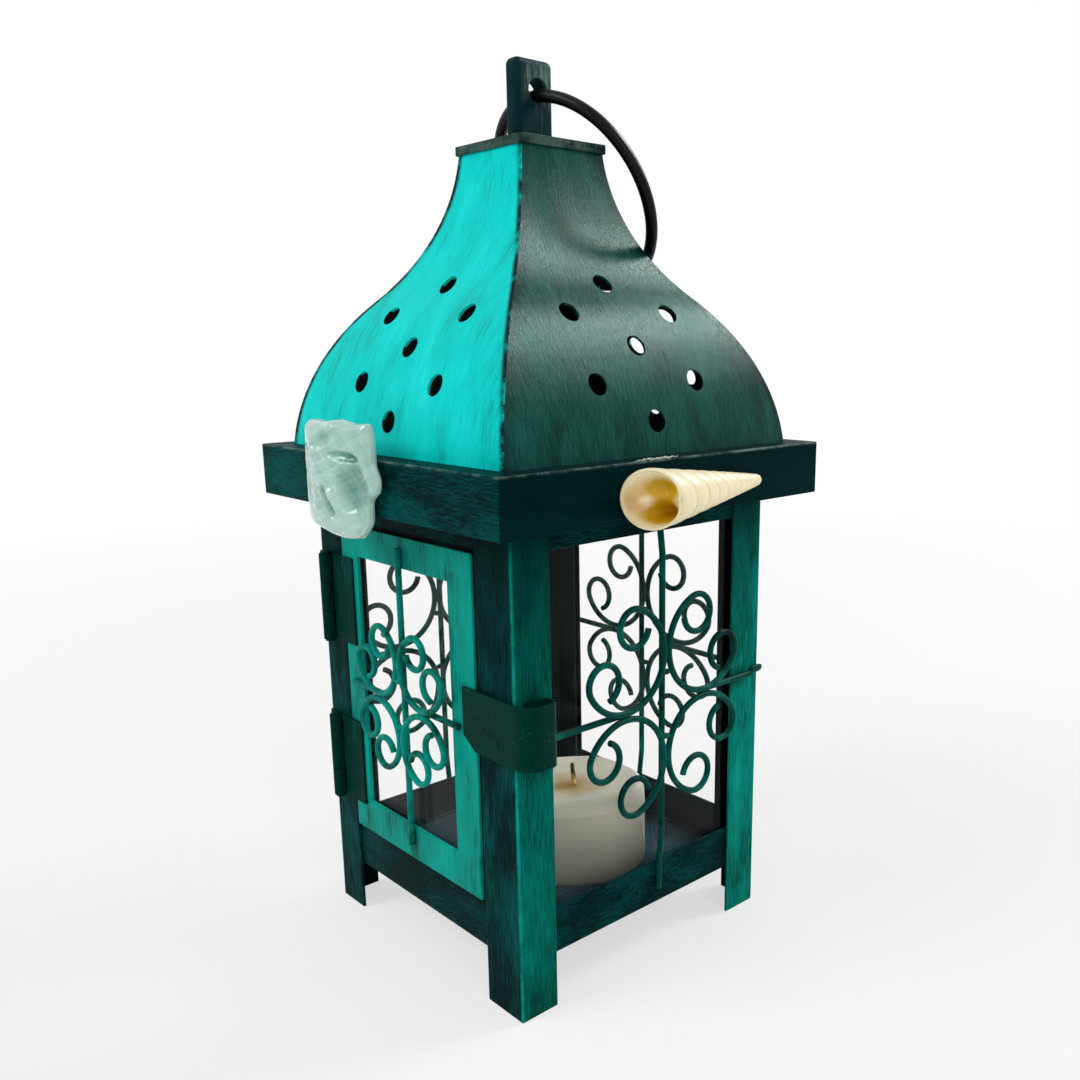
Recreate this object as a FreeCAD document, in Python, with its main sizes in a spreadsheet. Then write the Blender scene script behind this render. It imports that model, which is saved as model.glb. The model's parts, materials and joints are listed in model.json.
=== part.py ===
import FreeCAD, Part
import Sketcher

import math
import os
import re
from types import SimpleNamespace

Vector = FreeCAD.Vector
doc = FreeCAD.newDocument("CandleLantern")

# Driving sizes in millimetres, angles in degrees
SIZES = {
    # Square body: corner posts, base tray and top frame
    "body_half": 50.0,
    "post_sheet": 1.0,
    "post_flange": 13.0,
    "strike_flange": 16.0,
    "post_height": 141.0,
    "tray_bottom": 16.3,
    "tray_side": 14.2,
    "tray_sheet": 0.8,
    "frame_drop": 7.0,
    # Glazing and the strips that hold it
    "glass_thick": 2.0,
    "glass_corner_gap": 0.2,
    "glass_head_gap": 0.2,
    "strip_leg": 10.0,
    "strip_sheet": 0.8,
    # Roof: rim box, ogee panels, cap
    "roof_sheet": 0.8,
    "rim_half": 62.0,
    "rim_height": 15.8,
    "rim_ledge": 12.0,
    "chimney_half": 40.0,
    "dome_setback": 7.4,
    "dome_top_half": 15.0,
    "dome_height": 86.7,
    "dome_base_lean": 5.7,
    "dome_top_lean": 3.6,
    "vent_diameter": 6.4,
    "vent_first": 9.5,
    "vent_pitch": 11.0,
    "vent_spread": 19.0,
    "cap_overhang": 0.9,
    "cap_skirt": 1.9,
    "cap_gap": 0.3,
    # Hanger: flat bar with a cross hole, and a loose ring
    "hanger_thick": 6.0,
    "hanger_wide": 14.0,
    "hanger_height": 23.5,
    "hanger_round": 2.0,
    "hanger_hole": 7.0,
    "hanger_hole_rise": 14.9,
    "hanger_hole_shift": 1.0,
    "ring_radius": 30.5,
    "ring_wire": 3.6,
    "ring_gap": 0.3,
    # Door
    "door_proud": 0.3,
    "door_gap_hinge": 0.6,
    "door_gap_latch": 1.2,
    "door_gap_foot": 0.8,
    "door_gap_head": 1.2,
    "door_sheet": 1.2,
    "door_hinge_stile": 9.4,
    "door_latch_stile": 11.5,
    "door_top_rail": 9.4,
    "door_foot_rail": 11.0,
    "door_glass_lap": 4.0,
    "clip_length": 6.0,
    "clip_sheet": 0.6,
    "clip_lap": 3.0,
    "clip_gap": 0.2,
    "clip_inset": 25.4,
    # Butt hinges
    "hinge_height": 28.0,
    "hinge_foot_inset": 23.2,
    "hinge_head_inset": 24.3,
    "hinge_inset": 6.5,
    "hinge_sheet": 0.8,
    "hinge_leaf": 14.0,
    "hinge_edge": 0.6,
    "knuckle_radius": 2.0,
    "knuckle_gap": 0.3,
    "knuckle_stand": 0.35,
    "pin_radius": 0.9,
    "pin_fit": 0.05,
    "pin_head": 1.5,
    "pin_head_thick": 0.7,
    # Latch strap with its rolled finger pull
    "latch_sheet": 0.9,
    "latch_height": 18.0,
    "latch_lift": 3.95,
    "latch_lap": 5.0,
    "latch_bevel": 5.5,
    "latch_bevel_drop": 3.85,
    "latch_stand": 0.55,
    "latch_turn": 5.0,
    "latch_run": 3.0,
    "latch_roll": 2.6,
    "latch_return": 4.0,
    # Wire scrollwork
    "wire": 1.9,
    "cross_lift": 0.45,
    "solder_gap": 0.05,
    "wire_bend": 4.0,
    "wire_rail_lap": 9.0,
    "cross_lap": 8.0,
    "side_axis": 4.5,
    "side_back": 15.5,
    "side_curl": 5.7,
    "side_outer_sweep": 70.0,
    "side_inner_sweep": 150.0,
    "door_back": 11.0,
    "door_curl": 4.7,
    "door_outer_sweep": 65.0,
    "door_inner_sweep": 158.0,
    "curl_sweep": 280.0,
    # Candle
    "candle_radius": 24.0,
    "candle_height": 27.0,
    "candle_round": 3.0,
    "candle_dish": 2.0,
    "candle_x": 7.5,
    "candle_y": 6.5,
    "wick_radius": 0.9,
    "wick_height": 7.0,
    # Found ornaments glued on the rim
    "pebble_x": -4.2,
    "pebble_rise": 9.6,
    "pebble_wide": 35.5,
    "pebble_tall": 32.6,
    "pebble_thick": 9.0,
    "glue_thick": 0.8,
    "glue_radius": 7.0,
    "glue_bed_length": 15.4,
    "glue_bed_depth": 2.4,
    "shell_length": 54.0,
    "shell_radius": 8.2,
    "shell_start": -22.5,
    "shell_rise": 6.2,
    "shell_bulge": 0.6,
    "shell_tip": 0.7,
}

sheet = doc.addObject("Spreadsheet::Sheet", "Sizes")
for row, (alias, value) in enumerate(SIZES.items(), start=1):
    sheet.set("A%d" % row, alias)
    sheet.set("B%d" % row, str(value))
    sheet.setAlias("B%d" % row, alias)
doc.recompute()
size = SimpleNamespace(**{alias: float(sheet.get(alias)) for alias in SIZES})

# Levels and faces that several pieces share, as expressions of the sizes
FLOOR_TOP = "tray_bottom + tray_sheet"
TRAY_TOP = "tray_bottom + tray_side"
TRAY_OUT = "body_half - post_sheet"
TRAY_IN = "body_half - post_sheet - tray_sheet"
GLASS_IN = TRAY_IN + " - glass_thick"
GLASS_END = GLASS_IN + " - glass_corner_gap"
FRAME_FOOT = "post_height - frame_drop"
RIM_TOP = "post_height + rim_height"
DOME_TOP = RIM_TOP + " + dome_height"
CAP_TOP = DOME_TOP + " + roof_sheet"
DOOR_OUT = "body_half + door_proud"
DOOR_BACK = DOOR_OUT + " - door_sheet"
DOOR_LEFT = "-body_half + post_flange + door_gap_hinge"
DOOR_RIGHT = "body_half - strike_flange - door_gap_latch"
DOOR_FOOT = TRAY_TOP + " + door_gap_foot"
DOOR_HEAD = FRAME_FOOT + " - door_gap_head"

# The same levels as numbers, for the pieces shaped in code
floor_top = size.tray_bottom + size.tray_sheet
tray_top = size.tray_bottom + size.tray_side
rim_top = size.post_height + size.rim_height
cap_top = rim_top + size.dome_height + size.roof_sheet
door_out = size.body_half + size.door_proud
door_back = door_out - size.door_sheet
door_left = -size.body_half + size.post_flange + size.door_gap_hinge
door_right = size.body_half - size.strike_flange - size.door_gap_latch
door_foot = tray_top + size.door_gap_foot
frame_foot = size.post_height - size.frame_drop
door_head = frame_foot - size.door_gap_head
door_middle = (door_foot + door_head) / 2
cross_height = door_middle + size.cross_lift
dome_base_half = size.rim_half - size.dome_setback
wire_radius = size.wire / 2

# Counts and shares that have no length
VENT_ROWS = 5
SHELL_WHORLS = 8
SHELL_SHRINK = 0.8
TILT_STEP = 0.05

nodes = []


def bound(text):
    """Put the sheet's name before each size in an expression."""
    return re.sub(r"[a-z]\w*", lambda word: "Sizes." + word.group(0), text)


def named(piece, label):
    """Give a finished sub-part its label and list it for writing."""
    piece.Label = label
    nodes.append(piece)
    return piece


def feature(label, shape, placement=None):
    """Add a sub-part whose shape is worked out in code."""
    piece = doc.addObject("Part::Feature", label)
    piece.Shape = shape
    if placement is not None:
        piece.Placement = placement
    return named(piece, label)


def block(name, x, y, z):
    """Add a box whose two limits along each axis are expressions."""
    box = doc.addObject("Part::Box", name)
    for axis, side, (low, high) in zip("xyz", ("Length", "Width", "Height"), (x, y, z)):
        box.setExpression(side, bound("(%s) - (%s)" % (high, low)))
        box.setExpression(".Placement.Base." + axis, bound(low))
    return box


def centred(half):
    """Limits of a square that is centred on the lantern's axis."""
    return ("-(%s)" % half, half)


def cut(label, base, *tools):
    """Take the tools away from a base, one after another, as one sub-part."""
    for tool in tools:
        result = doc.addObject("Part::Cut", label + "_cut")
        result.Base = base
        result.Tool = tool
        base = result
    return named(base, label)


def polygon_pad(label, corners, bottom, height):
    """Pad a polygon drawn on the ground plane and raised to its bottom level."""
    body = doc.addObject("PartDesign::Body", label + "_body")
    sketch = body.newObject("Sketcher::SketchObject", label + "_outline")
    ground = next(item for item in body.Origin.OriginFeatures if item.Role == "XY_Plane")
    sketch.AttachmentSupport = [(ground, "")]
    sketch.MapMode = "FlatFace"
    count = len(corners)
    guess = [Vector(math.cos(2 * math.pi * i / count), math.sin(2 * math.pi * i / count), 0)
             for i in range(count)]
    for i in range(count):
        sketch.addGeometry(Part.LineSegment(guess[i], guess[(i + 1) % count]), False)
    for i in range(count):
        sketch.addConstraint(Sketcher.Constraint("Coincident", i, 2, (i + 1) % count, 1))
    for i, corner in enumerate(corners):
        for kind, start, text in zip(("DistanceX", "DistanceY"), (guess[i].x, guess[i].y), corner):
            index = sketch.addConstraint(Sketcher.Constraint(kind, -1, 1, i, 1, start))
            sketch.setExpression("Constraints[%d]" % index, bound(text))
    sketch.setExpression(".AttachmentOffset.Base.z", bound(bottom))
    pad = body.newObject("PartDesign::Pad", label + "_pad")
    pad.Profile = sketch
    pad.setExpression("Length", bound(height))
    return named(body, label)


def angle_corners(side_x, side_y, outer, inner, leg_x, leg_y):
    """Corners of an L section with its outer corner at a body corner, legs pointing inwards."""
    def at(x, y):
        return ("%d * (%s)" % (side_x, x), "%d * (%s)" % (side_y, y))
    return [at(outer, outer), at("%s - (%s)" % (outer, leg_x), outer),
            at("%s - (%s)" % (outer, leg_x), inner), at(inner, inner),
            at(inner, "%s - (%s)" % (outer, leg_y)), at(outer, "%s - (%s)" % (outer, leg_y))]


# Corner posts of folded sheet and the angle strips that hold the glass inside them
CORNERS = {
    "latch_side": (1, -1, "strike_flange"),
    "hinge_side": (-1, -1, "post_flange"),
    "rear_right": (1, 1, "post_flange"),
    "rear_left": (-1, 1, "post_flange"),
}
for corner, (side_x, side_y, flange_x) in CORNERS.items():
    polygon_pad("post_" + corner,
                angle_corners(side_x, side_y, "body_half", TRAY_OUT, flange_x, "post_flange"),
                "0 * body_half", "post_height")
    polygon_pad("glass_strip_" + corner,
                angle_corners(side_x, side_y, GLASS_IN, GLASS_IN + " - strip_sheet",
                              "strip_leg", "strip_leg"),
                FLOOR_TOP, "post_height - (%s)" % FLOOR_TOP)

# Base tray between the posts: floor and four low sides from one folded sheet
cut("base_tray",
    block("tray_outer", centred(TRAY_OUT), centred(TRAY_OUT), ("tray_bottom", TRAY_TOP)),
    block("tray_inner", centred(TRAY_IN), centred(TRAY_IN), (FLOOR_TOP, TRAY_TOP + " + tray_side")))

# Top frame: a square band that ties the posts under the roof
cut("top_frame",
    block("frame_outer", centred(TRAY_OUT), centred(TRAY_OUT), (FRAME_FOOT, "post_height")),
    block("frame_inner", centred(TRAY_IN), centred(TRAY_IN),
          (FRAME_FOOT + " - frame_drop", "post_height + frame_drop")))

# Three fixed panes: they stand on the tray's floor against its sides
PANE_HEIGHT = (FLOOR_TOP, "post_height - glass_head_gap")
named(block("pane_right", (GLASS_IN, TRAY_IN), centred(GLASS_END), PANE_HEIGHT), "glass_right")
named(block("pane_rear", centred(GLASS_END), (GLASS_IN, TRAY_IN), PANE_HEIGHT), "glass_rear")
named(block("pane_left", ("-(%s)" % TRAY_IN, "-(%s)" % GLASS_IN), centred(GLASS_END), PANE_HEIGHT),
      "glass_left")

# Roof plate: ceiling with a square chimney hole, inside the foot of the rim
RIM_IN = "rim_half - roof_sheet"
cut("roof_plate",
    block("plate_sheet", centred(RIM_IN), centred(RIM_IN),
          ("post_height", "post_height + roof_sheet")),
    block("plate_hole", centred("chimney_half"), centred("chimney_half"),
          ("post_height - roof_sheet", "post_height + 2 * roof_sheet")))

# Roof rim: upright band with a ledge turned in along its top
cut("roof_rim",
    block("rim_outer", centred("rim_half"), centred("rim_half"), ("post_height", RIM_TOP)),
    block("rim_inner", centred(RIM_IN), centred(RIM_IN),
          ("post_height - rim_height", RIM_TOP + " - roof_sheet")),
    block("rim_hole", centred("rim_half - rim_ledge"), centred("rim_half - rim_ledge"),
          (RIM_TOP + " - rim_height", RIM_TOP + " + rim_height")))


def ogee():
    """Two tangent arcs from the roof's base to its top, with equal tangent lengths.

    Returns each arc's centre and radius, and the start, the joint and the end."""
    start = Vector(dome_base_half, 0, rim_top)
    end = Vector(size.dome_top_half, 0, rim_top + size.dome_height)
    lean_start = math.radians(size.dome_base_lean)
    lean_end = math.radians(size.dome_top_lean)
    leave = Vector(-math.sin(lean_start), 0, math.cos(lean_start))
    arrive = Vector(-math.sin(lean_end), 0, math.cos(lean_end))
    span = end - start
    bend = 2 * (1 - leave.dot(arrive))
    along = span.dot(leave + arrive)
    reach = span.dot(span) / (along + math.sqrt(along * along + bend * span.dot(span)))
    joint = (start + leave * reach + end - arrive * reach) * 0.5
    arcs = []
    for point, tangent in ((start, leave), (end, arrive)):
        chord = joint - point
        inward = Vector(-tangent.z, 0, tangent.x)
        radius = chord.dot(chord) / (2 * chord.dot(inward))
        arcs.append((point + inward * radius, abs(radius)))
    return arcs, (start, joint, end)


def arc_between(centre, first, last):
    """Arc about a centre from one point to another, by the shorter way."""
    radius = (first - centre).Length
    middle = (first - centre) + (last - centre)
    return Part.Arc(first, centre + middle * (radius / middle.Length), last).toShape()


def roof_panel():
    """One ogee panel of bent sheet, mitred at both hips and punched with vents."""
    (lower, upper), (start, joint, end) = ogee()
    low_centre, low_radius = lower
    high_centre, high_radius = upper
    inner_start = low_centre + (start - low_centre) * ((low_radius - size.roof_sheet) / low_radius)
    inner_joint = low_centre + (joint - low_centre) * ((low_radius - size.roof_sheet) / low_radius)
    inner_end = high_centre + (end - high_centre) * ((high_radius + size.roof_sheet) / high_radius)
    outline = Part.Wire([
        arc_between(low_centre, start, joint),
        arc_between(high_centre, joint, end),
        Part.makeLine(end, inner_end),
        arc_between(high_centre, inner_end, inner_joint),
        arc_between(low_centre, inner_joint, inner_start),
        Part.makeLine(inner_start, start),
    ])
    reach = size.rim_half
    bent = Part.Face(outline).extrude(Vector(0, 2 * reach, 0))
    bent.translate(Vector(0, -reach, 0))
    wedge = Part.Face(Part.makePolygon([
        Vector(0, 0, rim_top), Vector(reach, -reach, rim_top),
        Vector(reach, reach, rim_top), Vector(0, 0, rim_top)]))
    panel = bent.common(wedge.extrude(Vector(0, 0, size.dome_height)))
    turn_low = math.asin((joint - start).Length / 2 / low_radius) * 2
    length_low = low_radius * turn_low
    for row in range(VENT_ROWS):
        along = size.vent_first + row * size.vent_pitch
        if along < length_low:
            centre, point, turn, facing = low_centre, start, along / low_radius, 1
        else:
            centre, point, turn, facing = high_centre, joint, (along - length_low) / high_radius, -1
        spin = FreeCAD.Rotation(Vector(0, 1, 0), -facing * math.degrees(turn))
        arm = spin.multVec(point - centre)
        outward = arm * (facing / arm.Length)
        for side in ((0,) if row % 2 == 0 else (-1, 1)):
            spot = centre + arm + Vector(0, side * size.vent_spread, 0)
            punch = Part.makeCylinder(size.vent_diameter / 2, 8 * size.roof_sheet,
                                      spot - outward * (4 * size.roof_sheet), outward)
            panel = panel.cut(punch)
    return panel.removeSplitter()


# Four roof panels, one turned to each side
panel_shape = roof_panel()
for label, turn in (("right", 0), ("rear", 90), ("left", 180), ("front", 270)):
    feature("roof_panel_" + label, panel_shape,
            FreeCAD.Placement(Vector(), FreeCAD.Rotation(Vector(0, 0, 1), turn)))

# Cap: a shallow square lid turned down over the panels' top edges
CAP_HALF = "dome_top_half + cap_overhang"
cut("roof_cap",
    block("cap_outer", centred(CAP_HALF), centred(CAP_HALF), (DOME_TOP + " - cap_skirt", CAP_TOP)),
    block("cap_inner", centred("dome_top_half + cap_gap"), centred("dome_top_half + cap_gap"),
          (DOME_TOP + " - 2 * cap_skirt", DOME_TOP)))

# Hanger bar: rounded upright bar with a hole across its flat side
bar = block("hanger_bar", centred("hanger_thick / 2"), centred("hanger_wide / 2"),
            (CAP_TOP, CAP_TOP + " + hanger_height"))
doc.recompute()
rounded = doc.addObject("Part::Fillet", "hanger_rounded")
rounded.Base = bar
rounded.Edges = [(index, size.hanger_round, size.hanger_round)
                 for index, edge in enumerate(bar.Shape.Edges, start=1)
                 if edge.BoundBox.ZMax > cap_top + size.hanger_round]
drill = doc.addObject("Part::Cylinder", "hanger_drill")
drill.setExpression("Radius", bound("hanger_hole / 2"))
drill.setExpression("Height", bound("2 * hanger_thick"))
drill.setExpression(".Placement.Base.x", bound("-hanger_thick"))
drill.setExpression(".Placement.Base.y", bound("hanger_hole_shift"))
drill.setExpression(".Placement.Base.z", bound(CAP_TOP + " + hanger_hole_rise"))
drill.Placement.Rotation = FreeCAD.Rotation(Vector(0, 1, 0), 90)
cut("hanger_post", rounded, drill)


def dome_half(level):
    """Half width of the roof's outer face at a level."""
    (lower, upper), (start, joint, end) = ogee()
    centre, radius, facing = (*lower, 1) if level < joint.z else (*upper, -1)
    return centre.x + facing * math.sqrt(radius ** 2 - (level - centre.z) ** 2)


def ring_tilt(pivot):
    """Angle below level at which the ring's far side comes to lie on the rear roof panel."""
    tilt = 0.0
    while tilt < 90.0:
        tilt += TILT_STEP
        reach = 2 * size.ring_radius
        far_y = pivot.y + reach * math.cos(math.radians(tilt))
        far_z = pivot.z - reach * math.sin(math.radians(tilt))
        levels = [far_z + step * 0.1 * size.ring_wire for step in range(-12, 13)]
        nearest = min(math.hypot(far_y - dome_half(level), far_z - level) for level in levels)
        if nearest < size.ring_wire / 2 + size.ring_gap or far_y < dome_half(far_z):
            break
    return tilt - TILT_STEP


# Ring: round wire through the bar's hole, fallen back against the rear roof panel
pivot = Vector(0, size.hanger_hole_shift,
               cap_top + size.hanger_hole_rise - size.hanger_hole / 2 + size.ring_wire / 2 + size.ring_gap)
tilt = ring_tilt(pivot)
ring = doc.addObject("Part::Torus", "ring_wire")
ring.setExpression("Radius1", bound("ring_radius"))
ring.setExpression("Radius2", bound("ring_wire / 2"))
lean_back = FreeCAD.Rotation(Vector(1, 0, 0), -tilt)
ring.Placement = FreeCAD.Placement(pivot + lean_back.multVec(Vector(0, size.ring_radius, 0)), lean_back)
named(ring, "hanger_ring")

# Door: sheet frame, its pane and the clips that hold the pane from behind
door_sides = ("-(%s)" % DOOR_OUT, "-(%s)" % DOOR_BACK)
glass_left = door_left + size.door_hinge_stile - size.door_glass_lap
glass_right = door_right - size.door_latch_stile + size.door_glass_lap
cut("door_frame",
    block("door_outer", (DOOR_LEFT, DOOR_RIGHT), door_sides, (DOOR_FOOT, DOOR_HEAD)),
    block("door_light", (DOOR_LEFT + " + door_hinge_stile", DOOR_RIGHT + " - door_latch_stile"),
          ("-(%s) - door_sheet" % DOOR_OUT, "-(%s) + door_sheet" % DOOR_BACK),
          (DOOR_FOOT + " + door_foot_rail", DOOR_HEAD + " - door_top_rail")))
named(block("door_pane",
            (DOOR_LEFT + " + door_hinge_stile - door_glass_lap",
             DOOR_RIGHT + " - door_latch_stile + door_glass_lap"),
            ("-(%s)" % DOOR_BACK, "-(%s) + glass_thick" % DOOR_BACK),
            (DOOR_FOOT + " + door_foot_rail - door_glass_lap",
             DOOR_HEAD + " - door_top_rail + door_glass_lap")), "door_glass")


def door_clip(edge, outward, middle):
    """Bent clip: a foot on the door's back beside the pane and a toe over the pane's edge."""
    depth = size.glass_thick + size.clip_sheet
    low = middle - size.clip_length / 2
    foot_near = edge + outward * size.clip_gap
    foot_far = foot_near + outward * size.clip_sheet
    toe_end = edge - outward * size.clip_lap
    foot = Part.makeBox(size.clip_sheet, depth, size.clip_length,
                        Vector(min(foot_near, foot_far), -door_back, low))
    toe = Part.makeBox(abs(foot_far - toe_end), size.clip_sheet, size.clip_length,
                       Vector(min(foot_far, toe_end), -door_back + size.glass_thick, low))
    return foot.fuse(toe).removeSplitter()


clip_levels = [door_foot + size.clip_inset, door_head - size.clip_inset]
feature("door_glass_clips", Part.makeCompound(
    [door_clip(glass_left, -1, level) for level in clip_levels]
    + [door_clip(glass_right, 1, level) for level in clip_levels]))

# Butt hinges: leaf on the post, leaf on the door, three knuckles and a pin
hinge_x = -size.body_half + size.hinge_inset
hinge_y = -size.body_half - size.knuckle_stand - size.knuckle_radius
knuckle = size.hinge_height / 3


def hinge_leaf(middle, face, near, far, own):
    """Flat leaf with rolled knuckles. Own is the list of knuckles, lowest first, that it carries."""
    low = middle - size.hinge_height / 2
    leaf = Part.makeBox(abs(far - near), size.hinge_sheet, size.hinge_height,
                        Vector(min(near, far), face - size.hinge_sheet, low))
    for index in range(3):
        foot = low + index * knuckle
        if index in own:
            trim = size.knuckle_gap / 2 if index == 1 else 0
            top = knuckle - size.knuckle_gap / 2 - trim
            base = Vector(hinge_x, hinge_y, foot + (size.knuckle_gap / 2 if index else 0))
            leaf = leaf.fuse(Part.makeCylinder(size.knuckle_radius, top, base))
            root = Part.makeBox(abs(near - hinge_x), size.hinge_sheet, top,
                                Vector(min(near, hinge_x), face - size.hinge_sheet, base.z))
            leaf = leaf.fuse(root)
    bore = Part.makeCylinder(size.pin_radius + size.pin_fit, size.hinge_height,
                             Vector(hinge_x, hinge_y, low))
    return leaf.cut(bore).removeSplitter()


def hinge_pin(middle):
    """Pin with a flat head beyond each outer knuckle."""
    half = size.hinge_height / 2
    profile = Part.Face(Part.makePolygon([
        Vector(0, 0, -half - size.pin_head_thick), Vector(size.pin_head, 0, -half - size.pin_head_thick),
        Vector(size.pin_head, 0, -half), Vector(size.pin_radius, 0, -half),
        Vector(size.pin_radius, 0, half), Vector(size.pin_head, 0, half),
        Vector(size.pin_head, 0, half + size.pin_head_thick), Vector(0, 0, half + size.pin_head_thick),
        Vector(0, 0, -half - size.pin_head_thick)]))
    return profile.revolve(Vector(), Vector(0, 0, 1), 360)


clear_of_knuckle = size.knuckle_radius + size.knuckle_gap
for level, middle in (("lower", door_foot + size.hinge_foot_inset),
                      ("upper", door_head - size.hinge_head_inset)):
    feature("hinge_post_leaf_" + level,
            hinge_leaf(middle, -size.body_half, hinge_x - clear_of_knuckle,
                       -size.body_half + size.hinge_edge, (0, 2)))
    feature("hinge_door_leaf_" + level,
            hinge_leaf(middle, -door_out, hinge_x + clear_of_knuckle, hinge_x + size.hinge_leaf, (1,)))
    feature("hinge_pin_" + level, hinge_pin(middle),
            FreeCAD.Placement(Vector(hinge_x, hinge_y, middle), FreeCAD.Rotation()))


def trace(start, heading, moves):
    """Edges of a flat path of runs (length,) and arcs (radius, sweep), sweep positive to the left."""
    edges = []
    point = Vector(*start, 0)
    for move in moves:
        ahead = Vector(math.cos(math.radians(heading)), math.sin(math.radians(heading)), 0)
        if len(move) == 1:
            last = point + ahead * move[0]
            edges.append(Part.makeLine(point, last))
        else:
            radius, sweep = move
            left = Vector(-ahead.y, ahead.x, 0) * math.copysign(1, sweep)
            centre = point + left * radius

            def swung(share):
                return centre + FreeCAD.Rotation(Vector(0, 0, 1), sweep * share).multVec(point - centre)
            last = swung(1)
            edges.append(Part.Arc(point, swung(0.5), last).toShape())
            heading += sweep
        point = last
    return edges


def ribbon(start, heading, moves, thick):
    """Flat strip of even thickness along a traced path, as a face in the ground plane."""
    sides = []
    for side in (1, -1):
        across = Vector(-math.sin(math.radians(heading)), math.cos(math.radians(heading)), 0)
        shifted = Vector(*start, 0) + across * (side * thick / 2)
        grown = [move if len(move) == 1 else
                 (move[0] - math.copysign(1, move[1]) * side * thick / 2, move[1]) for move in moves]
        sides.append(trace((shifted.x, shifted.y), heading, grown))
    ends = []
    for index, point in ((0, 0), (-1, -1)):
        ends.append(Part.makeLine(sides[0][index].Vertexes[point].Point,
                                  sides[1][index].Vertexes[point].Point))
    return Part.Face(Part.Wire(Part.__sortEdges__(sides[0] + sides[1] + ends)))


# Latch: a strap from the door over the post's corner, rolled back on itself as a finger pull
latch_start = door_right - size.latch_lap
latch_y = -door_out - size.latch_sheet / 2
turn_out = size.latch_turn
roll_x = size.body_half + size.latch_stand + size.latch_sheet / 2
latch_corner = roll_x + 2 * size.latch_roll - turn_out
latch_face = ribbon((latch_start, latch_y), 0,
                    [(latch_corner - latch_start,), (turn_out, 90), (size.latch_run,),
                     (size.latch_roll, 180), (size.latch_return,)], size.latch_sheet)
latch_low = door_middle + size.latch_lift - size.latch_height / 2
latch_face.translate(Vector(0, 0, latch_low))
latch_strap = latch_face.extrude(Vector(0, 0, size.latch_height))
bevel = Part.Face(Part.makePolygon([
    Vector(latch_start, -door_out + 1, latch_low),
    Vector(latch_start + size.latch_bevel, -door_out + 1, latch_low),
    Vector(latch_start, -door_out + 1, latch_low + size.latch_bevel_drop),
    Vector(latch_start, -door_out + 1, latch_low)]))
feature("door_latch", latch_strap.cut(bevel.extrude(Vector(0, -4 * size.latch_sheet, 0))))


def rod(edges, radius):
    """Round wire along a path."""
    spine = Part.Wire(Part.__sortEdges__(edges))
    first = spine.OrderedEdges[0]
    start = spine.OrderedVertexes[0].Point
    at_first = (first.valueAt(first.FirstParameter) - start).Length < 1e-6
    ahead = first.tangentAt(first.FirstParameter if at_first else first.LastParameter)
    section = Part.Wire(Part.makeCircle(radius, start, ahead))
    return spine.makePipeShell([section], True, False)


def c_scroll(axis, side, rise, back, curl, outer, inner):
    """C-shaped scroll beside the upright wire, above or below the cross wire.

    From the point of its back next to the axis, one half runs outwards and one runs to the
    cross wire; each half is a wide arc and then a tight curl to the same side."""
    middle = (axis + side * (wire_radius + size.solder_gap / 2),
              cross_height + rise * (wire_radius + size.solder_gap / 2 + back))
    away = trace(middle, 90 * rise, [(back, -side * rise * outer), (curl, -side * rise * size.curl_sweep)])
    toward = trace(middle, -90 * rise, [(back, side * rise * inner), (curl, side * rise * size.curl_sweep)])
    return rod(away + toward, wire_radius)


def upright(axis, foot, head, seat, shift):
    """Upright wire with both ends set back on the rails that carry it."""
    slope = 2 * size.wire_bend
    points = [Vector(axis, foot, seat), Vector(axis, foot + size.wire_rail_lap, seat),
              Vector(axis, foot + size.wire_rail_lap + slope, seat + shift),
              Vector(axis, head - size.wire_rail_lap / 2 - slope, seat + shift),
              Vector(axis, head - size.wire_rail_lap / 2, seat), Vector(axis, head, seat)]
    edges = []
    last = points[0]
    for before, corner, after in zip(points, points[1:], points[2:]):
        turn = (corner - before).getAngle(after - corner)
        if turn < 1e-6:
            continue
        trim = size.wire_bend * math.tan(turn / 2)
        enter = corner - (corner - before).normalize() * trim
        leave = corner + (after - corner).normalize() * trim
        inside = (enter + leave) * 0.5
        sag = size.wire_bend * (1 - math.cos(turn / 2))
        middle = inside + (corner - inside).normalize() * sag
        edges.append(Part.makeLine(last, enter))
        edges.append(Part.Arc(enter, middle, leave).toShape())
        last = leave
    edges.append(Part.makeLine(last, points[-1]))
    return rod(edges, wire_radius)


def scrollwork(face, placement, axis, back, curl, outer, inner, uprights, bar_ends):
    """Upright wire, cross wires and four C scrolls of one face, drawn flat and then placed."""
    in_front = FreeCAD.Placement(Vector(0, 0, 3 * wire_radius), FreeCAD.Rotation())
    feature(face + "_upright", upright(axis, *uprights), placement)
    bars = []
    for side, end in zip((-1, 1), bar_ends):
        inner_end = axis + side * back
        bars.append(rod([Part.makeLine(Vector(inner_end, cross_height, wire_radius),
                                       Vector(end, cross_height, wire_radius))], wire_radius))
    feature(face + "_cross_wires", Part.makeCompound(bars), placement)
    for rise, level in ((1, "upper"), (-1, "lower")):
        pair = [c_scroll(axis, side, rise, back, curl, outer, inner) for side in (-1, 1)]
        feature(face + "_scrolls_" + level, Part.makeCompound(pair), placement.multiply(in_front))


def face_placement(out, offset):
    """Placement of a drawing seen from outside on the face that looks along out."""
    across = Vector(0, 0, 1).cross(out)
    return FreeCAD.Placement(out * offset, FreeCAD.Rotation(across, Vector(0, 0, 1), out, "ZXY"))


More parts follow.
